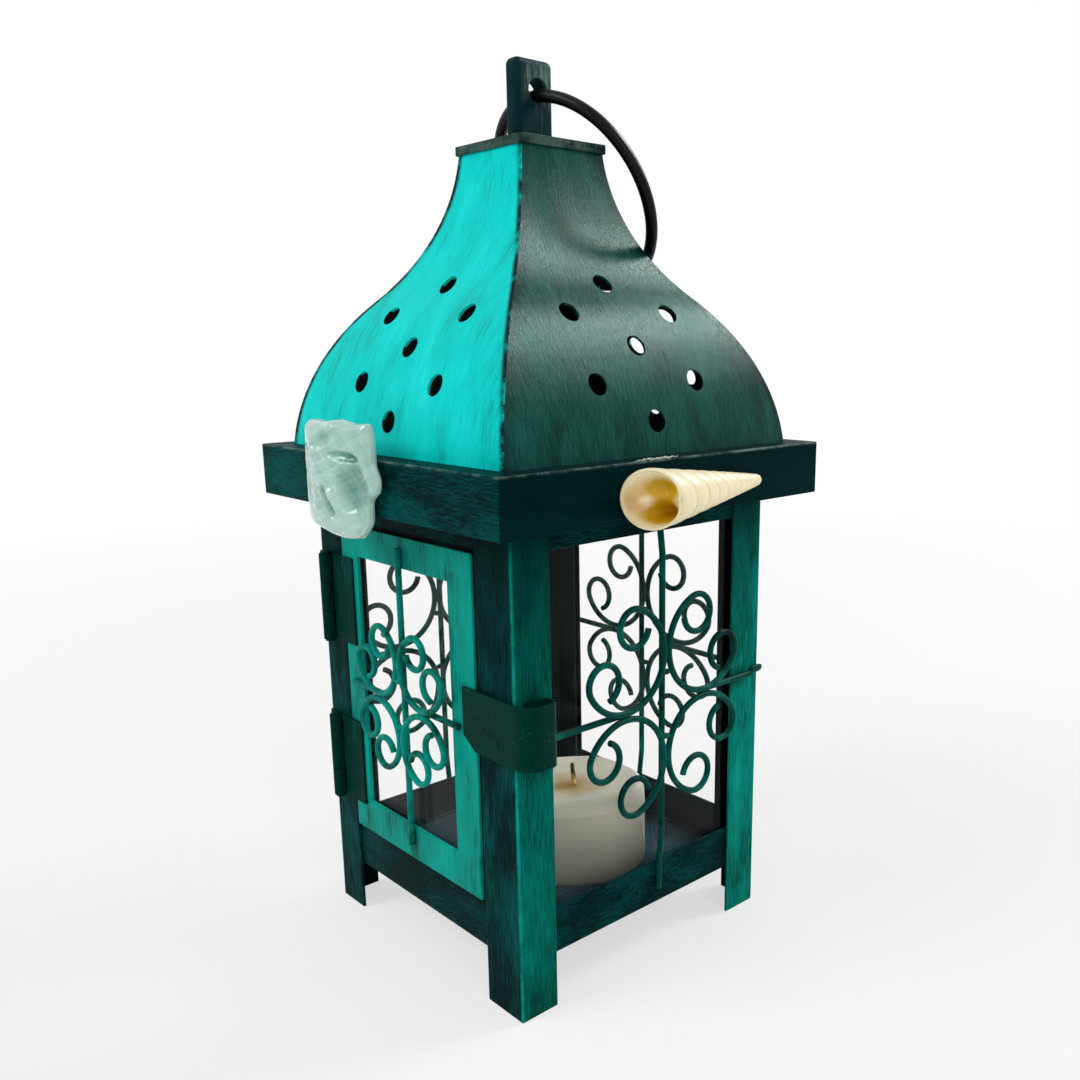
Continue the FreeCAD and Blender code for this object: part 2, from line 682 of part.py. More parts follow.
# Scrollwork in front of the three fixed panes and on the door
side_reach = size.body_half - size.post_flange + size.cross_lap
rail_seat = wire_radius - size.post_sheet
SIDE_FACES = {"right": Vector(1, 0, 0), "rear": Vector(0, 1, 0), "left": Vector(-1, 0, 0)}
for face, out in SIDE_FACES.items():
    latch_room = size.body_half - size.post_flange + size.latch_lap / 2
    near_end = -latch_room if face == "right" else -side_reach
    scrollwork(face, face_placement(out, size.body_half), size.side_axis, size.side_back,
               size.side_curl, size.side_outer_sweep, size.side_inner_sweep,
               (tray_top - size.wire_rail_lap, size.post_height - size.roof_sheet, rail_seat,
                size.post_sheet), (near_end, side_reach))
door_axis = (door_left + door_right) / 2
scrollwork("door", face_placement(Vector(0, -1, 0), door_out), door_axis, size.door_back,
           size.door_curl, size.door_outer_sweep, size.door_inner_sweep,
           (door_foot + size.door_foot_rail / 2, door_head - size.door_top_rail / 3, wire_radius, 0.0),
           (door_left + size.door_hinge_stile / 2, latch_start - size.wire))


def candle():
    """Low pillar with a rounded shoulder and a shallow melted dish."""
    radius, tall, soft = size.candle_radius, size.candle_height, size.candle_round
    lip = radius - soft
    profile = Part.Wire([
        Part.makeLine(Vector(0, 0, 0), Vector(radius, 0, 0)),
        Part.makeLine(Vector(radius, 0, 0), Vector(radius, 0, tall - soft)),
        Part.Arc(Vector(radius, 0, tall - soft),
                 Vector(lip + soft * math.cos(math.pi / 4), 0, tall - soft + soft * math.sin(math.pi / 4)),
                 Vector(lip, 0, tall)).toShape(),
        Part.makeLine(Vector(lip, 0, tall), Vector(lip / 2, 0, tall - size.candle_dish)),
        Part.makeLine(Vector(lip / 2, 0, tall - size.candle_dish), Vector(0, 0, tall - size.candle_dish)),
        Part.makeLine(Vector(0, 0, tall - size.candle_dish), Vector(0, 0, 0)),
    ])
    return Part.Face(profile).revolve(Vector(), Vector(0, 0, 1), 360)


# Candle and wick on the tray's floor
candle_foot = Vector(size.candle_x, size.candle_y, floor_top)
feature("candle", candle(), FreeCAD.Placement(candle_foot, FreeCAD.Rotation()))
wick = doc.addObject("Part::Cylinder", "wick_cord")
wick.setExpression("Radius", bound("wick_radius"))
wick.setExpression("Height", bound("wick_height"))
wick.setExpression(".Placement.Base.x", bound("candle_x"))
wick.setExpression(".Placement.Base.y", bound("candle_y"))
wick.setExpression(".Placement.Base.z", bound(FLOOR_TOP + " + candle_height - candle_dish"))
named(wick, "candle_wick")


# Outline of the sea-worn glass as shares of its half width and half height
PEBBLE_OUTLINE = ((-1.0, -0.5), (-0.96, 0.1), (-0.84, 0.75), (-0.66, 0.97), (0.1, 1.0), (0.84, 0.93),
                  (0.92, 0.4), (0.97, 0.0), (0.82, -0.45), (0.68, -0.8), (0.35, -0.98), (-0.4, -0.95),
                  (-0.88, -0.8))
# Depth of each section as a share of the thickness, and its size as a share of the outline
PEBBLE_SECTIONS = ((0.0, 0.86), (0.35, 1.0), (0.75, 0.93), (1.0, 0.62))


def pebble():
    """Flat tumbled lump: an uneven outline lofted through a back, a waist and a smaller front."""
    sections = []
    for depth, share in PEBBLE_SECTIONS:
        curve = Part.BSplineCurve()
        curve.interpolate([Vector(x * share * size.pebble_wide / 2, z * share * size.pebble_tall / 2,
                                  depth * size.pebble_thick) for x, z in PEBBLE_OUTLINE],
                          PeriodicFlag=True)
        sections.append(Part.Wire(curve.toShape()))
    return Part.makeLoft(sections, True)


# Sea-worn glass on the front of the rim, bedded on a dab of glue
rim_face = face_placement(Vector(0, -1, 0), size.rim_half)
pebble_middle = Vector(size.pebble_x, size.post_height + size.pebble_rise, 0)
dab = Part.makeCylinder(size.glue_radius, size.glue_thick, pebble_middle)
pebble_seat = FreeCAD.Placement(pebble_middle + Vector(0, 0, size.glue_thick), FreeCAD.Rotation())
feature("sea_glass", pebble(), rim_face.multiply(pebble_seat))


def turret_shell():
    """Long tapering shell: eight rounded whorls that shrink evenly towards the tip."""
    first = size.shell_length * (1 - SHELL_SHRINK) / (1 - SHELL_SHRINK ** SHELL_WHORLS)
    edges = []
    level, radius = 0.0, size.shell_radius - size.shell_bulge
    point = Vector(radius, 0, 0)
    edges.append(Part.makeLine(Vector(), point))
    for whorl in range(SHELL_WHORLS):
        step = first * SHELL_SHRINK ** whorl
        level += step
        taper = 1 - level / size.shell_length
        cone = size.shell_radius - size.shell_bulge - size.shell_tip
        tip = Vector(size.shell_tip + cone * taper, 0, level)
        swell = size.shell_bulge * SHELL_SHRINK ** whorl
        edges.append(Part.Arc(point, (point + tip) * 0.5 + Vector(swell, 0, 0), tip).toShape())
        point = tip
    edges.append(Part.makeLine(point, Vector(0, 0, level)))
    edges.append(Part.makeLine(Vector(0, 0, level), Vector()))
    return Part.Face(Part.Wire(edges)).revolve(Vector(), Vector(0, 0, 1), 360)


# Turret shell on the right of the rim, its side laid along the rim and bedded in glue
slope = math.degrees(math.atan2(size.shell_radius - size.shell_tip, size.shell_length))
shell_solid = turret_shell()
lie = FreeCAD.Placement(
    Vector(size.rim_half + size.ring_gap + size.shell_radius / math.cos(math.radians(slope)),
           size.shell_start, size.post_height + size.shell_rise),
    FreeCAD.Rotation(Vector(0, 0, 1), slope) * FreeCAD.Rotation(Vector(1, 0, 0), -90))
feature("turret_shell", shell_solid, lie)
placed_shell = shell_solid.copy()
placed_shell.Placement = lie
bed = Part.makeBox(size.glue_bed_depth, size.glue_bed_length, size.glue_radius,
                   Vector(size.rim_half, size.shell_start + size.glue_radius / 2,
                          size.post_height + size.shell_rise - size.glue_radius / 2))
dab.Placement = rim_face.multiply(dab.Placement)
feature("glue", Part.makeCompound([dab, bed.cut(placed_shell)]))

doc.recompute()

# Nothing is written unless every object is sound
for item in doc.Objects:
    if {"Invalid", "Error"} & set(item.State):
        raise RuntimeError("%s failed: %s" % (item.Label, item.State))
for piece in nodes:
    if piece.Shape.isNull() or not piece.Shape.isValid():
        raise RuntimeError("%s has no sound shape" % piece.Label)

os.makedirs("parts", exist_ok=True)
for piece in nodes:
    piece.Shape.exportStep("parts/%s.step" % piece.Label)
    print("%-26s %d solids %10.1f mm3" % (piece.Label, len(piece.Shape.Solids), piece.Shape.Volume))
print("ring tilt %.2f pivot y %.2f z %.2f" % (tilt, pivot.y, pivot.z))
print("hinge axis x %.2f y %.2f" % (hinge_x, hinge_y))
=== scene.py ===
import json
import math

import bmesh
import bpy
import numpy as np
from mathutils import Matrix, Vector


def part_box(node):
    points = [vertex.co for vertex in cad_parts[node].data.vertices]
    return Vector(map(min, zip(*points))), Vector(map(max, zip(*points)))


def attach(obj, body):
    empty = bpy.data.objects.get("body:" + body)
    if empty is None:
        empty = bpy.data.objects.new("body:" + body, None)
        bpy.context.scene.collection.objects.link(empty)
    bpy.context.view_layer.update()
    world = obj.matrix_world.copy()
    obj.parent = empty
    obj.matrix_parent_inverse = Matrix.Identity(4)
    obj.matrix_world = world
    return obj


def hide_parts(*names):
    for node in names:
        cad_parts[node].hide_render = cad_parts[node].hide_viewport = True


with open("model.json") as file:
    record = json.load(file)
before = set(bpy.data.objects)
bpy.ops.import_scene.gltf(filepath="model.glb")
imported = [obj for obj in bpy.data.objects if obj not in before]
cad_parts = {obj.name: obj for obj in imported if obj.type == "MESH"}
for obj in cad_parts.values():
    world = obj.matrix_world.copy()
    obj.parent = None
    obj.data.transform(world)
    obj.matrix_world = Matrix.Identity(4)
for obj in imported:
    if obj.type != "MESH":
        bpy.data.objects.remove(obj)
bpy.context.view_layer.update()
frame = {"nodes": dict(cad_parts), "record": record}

bl_info = {
    "name": "Painted Candle Lantern",
    "version": (1, 0, 0),
    "blender": (4, 5, 0),
    "location": "View3D > Sidebar > Lantern",
    "description": "Square sheet-metal candle lantern with an ogee roof, wire scrolls and beach finds",
    "category": "Object",
}

MM = 0.001
# Distances in metres at which points are merged, and angles in degrees of flat and of folded sheet
MERGE = 1e-7
WELD = 2e-6
FLAT_ANGLE = 0.4
FOLD_ANGLE = 40.0
NODES = frame["nodes"]
BODY = {node: body for body, members in frame["record"]["behaviour"]["bodies"].items()
        for node in members}
CORNERS = ("latch_side", "hinge_side", "rear_right", "rear_left")
FACES = ("right", "rear", "left")
OUTWARD = {"right": (1, 0, 0), "rear": (0, 1, 0), "left": (-1, 0, 0), "door": (0, -1, 0)}
WIRES = ("upright", "cross_wires", "scrolls_upper", "scrolls_lower")
# Weights of a running mean over seven points, and the rows it leaves free at each end
SMOOTH = np.hanning(9)[1:-1] / np.hanning(9)[1:-1].sum()
MARGIN = 3
# Lamps as name, place and diameter in metres, and watts; the sheen lamp adds gloss only
LAMPS = (("key", (-0.35, -1.0, 0.95), 0.7, 7.5), ("fill", (1.1, -0.35, 0.7), 0.8, 3.2),
         ("back", (0.4, 1.0, 0.85), 0.45, 7.0), ("sheen", (0.38, 0.95, 1.2), 0.3, 25.0))
LAMP_AIM = (0.0, 0.0, 0.13)
# Camera: place in metres, turns about Z, X and its own axis in degrees, and the lens
VIEW_PLACE = (0.25841, -0.20929, 0.18745)
VIEW_TURNS = ((47.227, "Z"), (77.297, "X"), (-0.42, "Z"))
VIEW_SHIFT = (-0.0621, 0.0359)
SENSOR, FOCUS, NEAREST = 36.0, 35.0, 0.01


def linear(code):
    """Linear colour of an sRGB hex code."""
    share = np.array([int(code[i:i + 2], 16) for i in (1, 3, 5)]) / 255.0
    light = np.where(share <= 0.04045, share / 12.92, ((share + 0.055) / 1.055) ** 2.4)
    return (*light.tolist(), 1.0)


WHITE = linear("#FFFFFF")
PAINT_GLOSS = linear("#8FE6D8")


def colour_property(name, description, code):
    """Colour setting with a default given as an sRGB hex code."""
    return bpy.props.FloatVectorProperty(name=name, description=description, subtype="COLOR", size=4,
                                         min=0.0, max=1.0, default=linear(code))


def length_property(name, description, default):
    """Length setting in metres."""
    return bpy.props.FloatProperty(name=name, description=description, default=default, min=0.0,
                                   subtype="DISTANCE", unit="LENGTH", precision=5)


def middle_of(node):
    """Middle of a node's box and half its sizes, as arrays in metres."""
    low, high = (np.array(corner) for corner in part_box(node))
    return (low + high) / 2, (high - low) / 2


CANDLE_MIDDLE, CANDLE_HALF = middle_of("candle")
PEBBLE_MIDDLE, PEBBLE_HALF = middle_of("sea_glass")
SHELL_MIDDLE, SHELL_HALF = middle_of("turret_shell")


class LanternColours(bpy.types.PropertyGroup):
    """Paint and material colours."""

    bright: colour_property("Bright panel", "Turquoise of the front and rear roof panels", "#00D6D0")
    # Partly lighter brush strokes and partly painted highlights on the brush ridges
    bright_glint_strokes: colour_property("Bright strokes", "Lightest strokes on the turquoise", "#2AEEE8")
    bright_deep: colour_property("Turquoise shadow", "Thin strokes where the dark coat shows", "#04877E")
    slate: colour_property("Dark panel", "Green black of the two side roof panels", "#043A32")
    slate_light: colour_property("Dark panel strokes", "Grey green dry brush on the dark panels", "#1A6458")
    night: colour_property("Trim ground", "Near-black coat of rim, rails and front flanges", "#011B1D")
    night_light: colour_property("Trim strokes", "Dry brush on the near-black coat", "#086866")
    # Painted shade: duller strokes for the rim's faces that look along X, standing in for their shaded sides
    night_shaded_side: colour_property("Rim strokes", "Dull dry brush on the rim's side faces", "#052A2B")
    teal: colour_property("Teal", "Coat of the door and strokes on the front posts", "#059284")
    teal_light: colour_property("Teal strokes", "Lightest strokes on the teal", "#0FB0A2")
    teal_deep: colour_property("Teal shadow", "Thin strokes where the dark coat shows", "#053836")
    flange: colour_property("Side flange", "Teal of the front posts beside the side panes", "#014F44")
    flange_rear: colour_property("Rear post", "Fresher teal on the sides of the rear posts", "#026A5D")
    strap: colour_property("Latch and hinges", "Dark green of latch and hinge leaves", "#043029")
    strap_light: colour_property("Strap specks", "Worn specks on the latch", "#1D6651")
    # The side wires' coat is darkened as painted shade, for the lantern's right side stands in shade
    wire: colour_property("Wire", "Coat of the side scrolls", "#05443D")
    wire_light: colour_property("Wire strokes", "Bright strokes on the scrolls", "#0A766A")
    worn: colour_property("Worn edge", "Grey green where edges are rubbed", "#7F9B93")
    cap_worn: colour_property("Worn cap", "Dull grey green on the cap's edge", "#4A5F59")
    stub: colour_property("Hanger", "Dark grey green of the hanger bar", "#0C2A2F")
    ring: colour_property("Ring", "Black coat of the ring", "#050708")
    ring_light: colour_property("Ring specks", "Grey specks on the ring", "#20282A")
    # Also laid on the roof's inner faces, partly as dark primer and partly as painted shade
    inside: colour_property("Inside", "Dark primer inside the lantern", "#0C1316")
    floor: colour_property("Tray floor", "Slate grey of the tray's floor", "#1C3036")
    # The wax's cream is greyed down as painted shade, for the candle stands in the shade of the roof
    wax: colour_property("Wax", "Cream of the candle", "#ABA795")
    wax_cloud: colour_property("Wax clouds", "Greyer clouds in the wax", "#98968A")
    # Painted shade: greyer wax towards the candle's foot
    wax_foot_shade: colour_property("Dusty wax", "Grey towards the candle's foot", "#6C6A5E")
    soot: colour_property("Burnt wax", "Brown stain round the wick", "#7A6330")
    wick: colour_property("Wick", "Ochre of the waxed cotton", "#A8894A")
    char: colour_property("Charred wick", "Brown black of the wick's end", "#2E2114")
    aqua: colour_property("Sea glass", "Pale aqua of the sea-worn glass", "#C6EDE2")
    # Painted light on the sea glass: greener in the chips, partly as painted shade, paler on folds and ripples
    # as painted highlight
    aqua_shade: colour_property("Sea glass dents", "Green in the chips and folds", "#459385")
    ivory: colour_property("Shell", "Ivory of the turret shell", "#FBF1D4")
    ivory_line: colour_property("Growth lines", "Cream of the shell's growth lines", "#EFDDA8")
    tan: colour_property("Shell grooves", "Tan between the whorls", "#D6B273")
    ochre: colour_property("Shell mouth", "Ochre inside the shell's mouth", "#C79A02")
    glue: colour_property("Glue", "Grey of the thin glue", "#9FB0A6")
    glue_light: colour_property("Milky glue", "Milk white of the thick glue", "#E6E8DE")


class LanternSizes(bpy.types.PropertyGroup):
    """Sizes of the softened edges and of the pieces built here."""

    fold: length_property("Fold radius", "Rounding of folded and cut sheet edges", 0.35 * MM)
    candle_radius: length_property("Candle radius", "Half the candle's width", CANDLE_HALF[0])
    candle_height: length_property("Candle height", "Height to the rim of the melted dish",
                                   2 * CANDLE_HALF[2])
    wick_radius: length_property("Wick radius", "Half the wick's width", 0.9 * MM)
    pebble_thick: length_property("Sea glass thickness", "From the glue to the front",
                                  2 * PEBBLE_HALF[1])
    shell_radius: length_property("Shell radius", "Half the shell's width at its mouth",
                                  1.07 * SHELL_HALF[2])
    shell_length: length_property("Shell length", "From the mouth to the tip", 54.0 * MM)
    solder: length_property("Solder bead", "Half the length of a bead between two wires", 1.5 * MM)


def settings():
    """The two groups of settings of the scene."""
    return bpy.context.scene.lantern_colours, bpy.context.scene.lantern_sizes


def add_node(tree, kind, inputs=None, **properties):
    """Add a node, set its properties, and fill or link its inputs."""
    made = tree.nodes.new(kind)
    for key, value in properties.items():
        setattr(made, key, value)
    for key, value in (inputs or {}).items():
        if isinstance(value, bpy.types.NodeSocket):
            tree.links.new(value, made.inputs[key])
        else:
            made.inputs[key].default_value = value
    return made


def new_material(name, **sockets):
    """Material with one Principled shader whose even values sit on its own sockets."""
    material = bpy.data.materials.new(name)
    material.use_nodes = True
    shader = material.node_tree.nodes["Principled BSDF"]
    for key, value in sockets.items():
        shader.inputs[key.replace("_", " ")].default_value = value
    return material, material.node_tree, shader


def finish_material(tree, shader, **sockets):
    """Link what the pattern gives to the shader's sockets."""
    for key, value in sockets.items():
        tree.links.new(value, shader.inputs[key.replace("_", " ")])


def worn_band(tree, kind, across, along, high, corner):
    """Distance in metres that grows towards a rubbed edge.

    Across and along are the distances from the lantern's axis in X and Y. A post's corner lies
    where the lesser of them is large, a plain edge where the greater is, a roof's hip where the
    lesser comes up to the greater, and a brim where the greater and the height both come up to
    those of the given corner."""
    lesser, greater = (add_node(tree, "ShaderNodeMath", {0: across, 1: along}, operation=operation).outputs[0]
                       for operation in ("MINIMUM", "MAXIMUM"))
    if kind == "corner":
        return lesser
    if kind == "hip":
        return add_node(tree, "ShaderNodeMath", {0: lesser, 1: greater}, operation="SUBTRACT").outputs[0]
    if kind == "brim":
        run, rise = (add_node(tree, "ShaderNodeMath", {0: value, 1: end}, operation="SUBTRACT").outputs[0]
                     for value, end in ((greater, corner[0]), (high, corner[2])))
        return add_node(tree, "ShaderNodeMath", {0: run, 1: rise}, operation="MINIMUM").outputs[0]
    return greater


def hand_paint(name, coats, lie, stroke, cover, shine, patch=38.0, ridge=0.09, rough=(0.36, 0.56),
               thin=(0.3, 0.4), sway=1.1, grain=0.5, gloss=PAINT_GLOSS, side=None, rim_shade=None,
               wear=None, corner=None, inside=None, inner_shade=None):
    """Acrylic craft paint laid on sheet metal with a stiff brush.

    The eye sees a ground coat, lighter dry strokes that follow the brush, places where the dark
    undercoat shows, and ridges that break up the shine, which takes the gloss colour. Coats are
    the colours of ground, strokes and undercoat. Stroke is the width and length of a brush mark in
    millimetres and lie names the axes the brush went along. The paint's load is one half, plus the
    patches of a size in millimetres about their mean times sway, plus the marks about theirs times
    grain. Strokes come in as the load goes up through cover, and the undercoat as it goes down
    through thin. Side gives ground and strokes for faces that look along X, fade the heights
    between which the undercoat colour is painted in as shade under the rim and how far, wear the
    colour, kind, band and chips of a rubbed edge, inside the colour and level of the hidden faces,
    and lining the colour of faces that look towards the lantern's axis, partly dark primer and
    partly painted shade inside the roof."""
    material, tree, shader = new_material(name, Specular_IOR_Level=shine, Specular_Tint=gloss)
    spot = add_node(tree, "ShaderNodeTexCoord").outputs["Object"]
    ground, brush, deep = coats
    wide, long = stroke
    scale = [1.0 / (MM * (long if axis in lie else wide)) for axis in "xyz"]
    drawn = add_node(tree, "ShaderNodeMapping", {"Vector": spot, "Scale": scale}).outputs[0]
    marks = add_node(tree, "ShaderNodeTexNoise", {"Vector": drawn, "Scale": 1.0, "Detail": 5.0,
                                                  "Roughness": 0.62, "Distortion": 0.4}).outputs[0]
    scale = [1.0 / (MM * patch * (2.5 if axis in lie else 1.0)) for axis in "xyz"]
    broad = add_node(tree, "ShaderNodeMapping", {"Vector": spot, "Scale": scale}).outputs[0]
    patches = add_node(tree, "ShaderNodeTexNoise", {"Vector": broad, "Scale": 1.0, "Detail": 5.0,
                                                    "Distortion": 0.6}).outputs[0]
    uneven = add_node(tree, "ShaderNodeMath", {0: patches, 1: sway, 2: 0.5 * (1.0 - sway - grain)},
                      operation="MULTIPLY_ADD").outputs[0]
    load = add_node(tree, "ShaderNodeMath", {0: marks, 1: grain, 2: uneven},
                    operation="MULTIPLY_ADD").outputs[0]
    x, y, z = add_node(tree, "ShaderNodeSeparateXYZ", {0: spot}).outputs[:3]
    across, along = (add_node(tree, "ShaderNodeMath", {0: value}, operation="ABSOLUTE").outputs[0]
                     for value in (x, y))
    if side is not None:
        facing = add_node(tree, "ShaderNodeMath", {0: across, 1: along},
                          operation="GREATER_THAN").outputs[0]
        ground, brush = (add_node(tree, "ShaderNodeMix", {0: facing, 6: first, 7: second},
                                  data_type="RGBA").outputs[2]
                         for first, second in zip((ground, brush), side))
    # Layers of colour, each as its share of the surface over the one before
    layers = []
    for colour, (start, end) in ((brush, cover), (deep, reversed(thin))):
        share = add_node(tree, "ShaderNodeMapRange", {"Value": load, "From Min": start, "From Max": end})
        layers.append((share.outputs[0], colour))
    # Painted shade under the rim: the undercoat colour comes in towards the top of the posts, between the
    # given heights
    if rim_shade is not None:
        start, end, most = rim_shade
        high = add_node(tree, "ShaderNodeMath", {0: marks, 1: 50.0 * MM, 2: z},
                        operation="MULTIPLY_ADD").outputs[0]
        share = add_node(tree, "ShaderNodeMapRange", {"Value": high, "From Min": start * MM,
                                                      "From Max": end * MM, "To Max": most})
        layers.append((share.outputs[0], deep))
    if wear is not None:
        rubbed, kind, (near, far), (few, many) = wear
        band = worn_band(tree, kind, across, along, z, corner)
        edge = add_node(tree, "ShaderNodeMapRange", {"Value": band, "From Min": near * MM,
                                                     "From Max": far * MM}).outputs[0]
        chips = add_node(tree, "ShaderNodeTexNoise", {"Vector": spot, "Scale": 1.0 / (14.0 * MM),
                                                      "Detail": 8.0, "Roughness": 0.75}).outputs[0]
        chips = add_node(tree, "ShaderNodeMapRange", {"Value": chips, "From Min": few,
                                                      "From Max": many}).outputs[0]
        share = add_node(tree, "ShaderNodeMath", {0: edge, 1: chips}, operation="MULTIPLY")
        layers.append((share.outputs[0], rubbed))
    if inside is not None:
        shade, level = inside
        outer = add_node(tree, "ShaderNodeMath", {0: across, 1: along}, operation="MAXIMUM").outputs[0]
        share = add_node(tree, "ShaderNodeMath", {0: outer, 1: level * MM}, operation="LESS_THAN")
        layers.append((share.outputs[0], shade))
    # Painted shade inside the roof: faces that look towards the axis take the dark inside colour, partly dark
    # primer and partly standing in for the shade seen through the vents
    if inner_shade is not None:
        flat = add_node(tree, "ShaderNodeVectorMath", {0: spot, 1: (1.0, 1.0, 0.0)},
                        operation="MULTIPLY").outputs[0]
        normal = add_node(tree, "ShaderNodeNewGeometry").outputs["Normal"]
        outward = add_node(tree, "ShaderNodeVectorMath", {0: normal, 1: flat},
                           operation="DOT_PRODUCT").outputs[1]
        share = add_node(tree, "ShaderNodeMath", {0: outward, 1: -1.0 * MM}, operation="LESS_THAN")
        layers.append((share.outputs[0], inner_shade))
    colour = ground
    for share, above in layers:
        colour = add_node(tree, "ShaderNodeMix", {0: share, 6: colour, 7: above},
                          data_type="RGBA").outputs[2]
    dull = add_node(tree, "ShaderNodeMapRange", {"Value": load, "From Min": 0.25, "From Max": 0.75,
                                                 "To Min": rough[0], "To Max": rough[1]}).outputs[0]
    relief = add_node(tree, "ShaderNodeBump", {"Strength": 0.6, "Distance": ridge * MM,
                                               "Height": marks}).outputs[0]
    finish_material(tree, shader, Base_Color=colour, Roughness=dull, Normal=relief)
    return material


def window_glass():
    """Clear drawn sheet glass: sharp reflections, nothing of its own colour, and light passes to
    what stands behind it."""
    material, tree, shader = new_material("drawn_sheet_glass", Base_Color=WHITE, Roughness=0.02,
                                          IOR=1.12, Transmission_Weight=1.0)
    passing = add_node(tree, "ShaderNodeBsdfTransparent", {"Color": linear("#EEF6F4")})
    path = add_node(tree, "ShaderNodeLightPath")
    both = add_node(tree, "ShaderNodeMixShader", {0: path.outputs["Is Shadow Ray"],
                                                  1: shader.outputs[0], 2: passing.outputs[0]})
    tree.links.new(both.outputs[0], tree.nodes["Material Output"].inputs["Surface"])
    return material


def candle_wax(colours, middle):
    """Poured paraffin wax, its cream greyed down as painted shade: soft edges of light under a dull
    skin, cloudy, stained brown where the flame stood and greyed further towards the foot as painted
    shade. The stain fades out unevenly about 12 mm from the middle of the dish, and the painted
    shade comes in from 6 to 24 mm below it."""
    material, tree, shader = new_material("poured_candle_wax", Subsurface_Weight=0.2,
                                          Subsurface_Radius=(0.004, 0.003, 0.002),
                                          Subsurface_Scale=1.0, Specular_IOR_Level=0.35)
    spot = add_node(tree, "ShaderNodeTexCoord").outputs["Object"]
    cloudy = add_node(tree, "ShaderNodeTexNoise", {"Vector": spot, "Scale": 1.0 / (9.0 * MM),
                                                   "Detail": 4.0}).outputs[0]
    away = add_node(tree, "ShaderNodeVectorMath", {0: spot, 1: middle}, operation="DISTANCE").outputs[1]
    away = add_node(tree, "ShaderNodeMath", {0: cloudy, 1: 12.0 * MM, 2: away},
                    operation="MULTIPLY_ADD").outputs[0]
    stain = add_node(tree, "ShaderNodeMapRange", {"Value": away, "From Min": 18.0 * MM,
                                                  "From Max": 9.0 * MM}).outputs[0]
    # Painted shade: the wax greys from 6 to 24 mm below the dish
    high = add_node(tree, "ShaderNodeSeparateXYZ", {0: spot}).outputs[2]
    foot_shade = add_node(tree, "ShaderNodeMapRange", {"Value": high, "From Min": middle[2] - 6.0 * MM,
                                                  "From Max": middle[2] - 24.0 * MM}).outputs[0]
    colour = colours.wax
    for share, above in ((cloudy, colours.wax_cloud), (foot_shade, colours.wax_foot_shade), (stain, colours.soot)):
        colour = add_node(tree, "ShaderNodeMix", {0: share, 6: colour, 7: above},
                          data_type="RGBA").outputs[2]
    dull = add_node(tree, "ShaderNodeMapRange", {"Value": cloudy, "To Min": 0.4, "To Max": 0.62}).outputs[0]
    relief = add_node(tree, "ShaderNodeBump", {"Strength": 0.3, "Distance": 0.4 * MM,
                                               "Height": cloudy}).outputs[0]
    finish_material(tree, shader, Base_Color=colour, Roughness=dull, Normal=relief)
    return material


def burnt_cotton(colours, top):
    """Braided cotton wick, charred at the top: plait about 1 mm long, ochre fading to black from
    1 mm below the candle's top to 2.5 mm above it."""
    material, tree, shader = new_material("charred_cotton_wick", Roughness=0.9, Specular_IOR_Level=0.1)
    spot = add_node(tree, "ShaderNodeTexCoord").outputs["Object"]
    plait = add_node(tree, "ShaderNodeTexWave", {"Vector": spot, "Scale": 0.3 / (1.0 * MM),
                                                 "Distortion": 3.0}, bands_direction="DIAGONAL").outputs[1]
    high = add_node(tree, "ShaderNodeSeparateXYZ", {0: spot}).outputs[2]
    charred = add_node(tree, "ShaderNodeMapRange", {"Value": high, "From Min": top - 1.0 * MM,
                                                    "From Max": top + 2.5 * MM}).outputs[0]
    colour = add_node(tree, "ShaderNodeMix", {0: charred, 6: colours.wick, 7: colours.char},
                      data_type="RGBA").outputs[2]
    relief = add_node(tree, "ShaderNodeBump", {"Distance": 0.2 * MM, "Height": plait}).outputs[0]
    finish_material(tree, shader, Base_Color=colour, Normal=relief)
    return material


def sea_glass_frost(colours):
    """Soda glass frosted by sand and sea: a fine etched skin of about 0.3 mm grain over pale aqua
    glass that glows where light passes through. It is greener in its chips, partly its own colour
    and partly painted shade, and paler on its folds, ripples and lower part as painted highlight."""
    material, tree, shader = new_material("sea_frosted_glass", Transmission_Weight=0.35, IOR=1.48,
                                          Coat_Weight=1.0, Coat_Roughness=0.06, Subsurface_Weight=0.3,
                                          Subsurface_Radius=(0.002, 0.003, 0.0028),
                                          Subsurface_Scale=1.0, Specular_IOR_Level=0.5)
    spot = add_node(tree, "ShaderNodeTexCoord").outputs["Object"]
    grain = add_node(tree, "ShaderNodeTexNoise", {"Vector": spot, "Scale": 1.0 / (0.35 * MM),
                                                  "Detail": 3.0}).outputs[0]
    cloud = add_node(tree, "ShaderNodeTexNoise", {"Vector": spot, "Scale": 1.0 / (11.0 * MM),
                                                  "Detail": 3.0, "Distortion": 0.8}).outputs[0]
    relief_shading = add_node(tree, "ShaderNodeAttribute", attribute_name="relief_shading").outputs["Fac"]
    colour = add_node(tree, "ShaderNodeMix", {0: relief_shading, 6: colours.aqua, 7: colours.aqua_shade},
                      data_type="RGBA").outputs[2]
    frost = add_node(tree, "ShaderNodeMapRange", {"Value": cloud, "From Min": 0.3, "From Max": 0.7,
                                                  "To Min": 0.2, "To Max": 0.45}).outputs[0]
    skin = add_node(tree, "ShaderNodeMath", {0: cloud, 1: 3.0, 2: grain},
                    operation="MULTIPLY_ADD").outputs[0]
    relief = add_node(tree, "ShaderNodeBump", {"Strength": 0.5, "Distance": 0.15 * MM,
                                               "Height": skin}).outputs[0]
    finish_material(tree, shader, Base_Color=colour, Roughness=frost, Normal=relief)
    return material


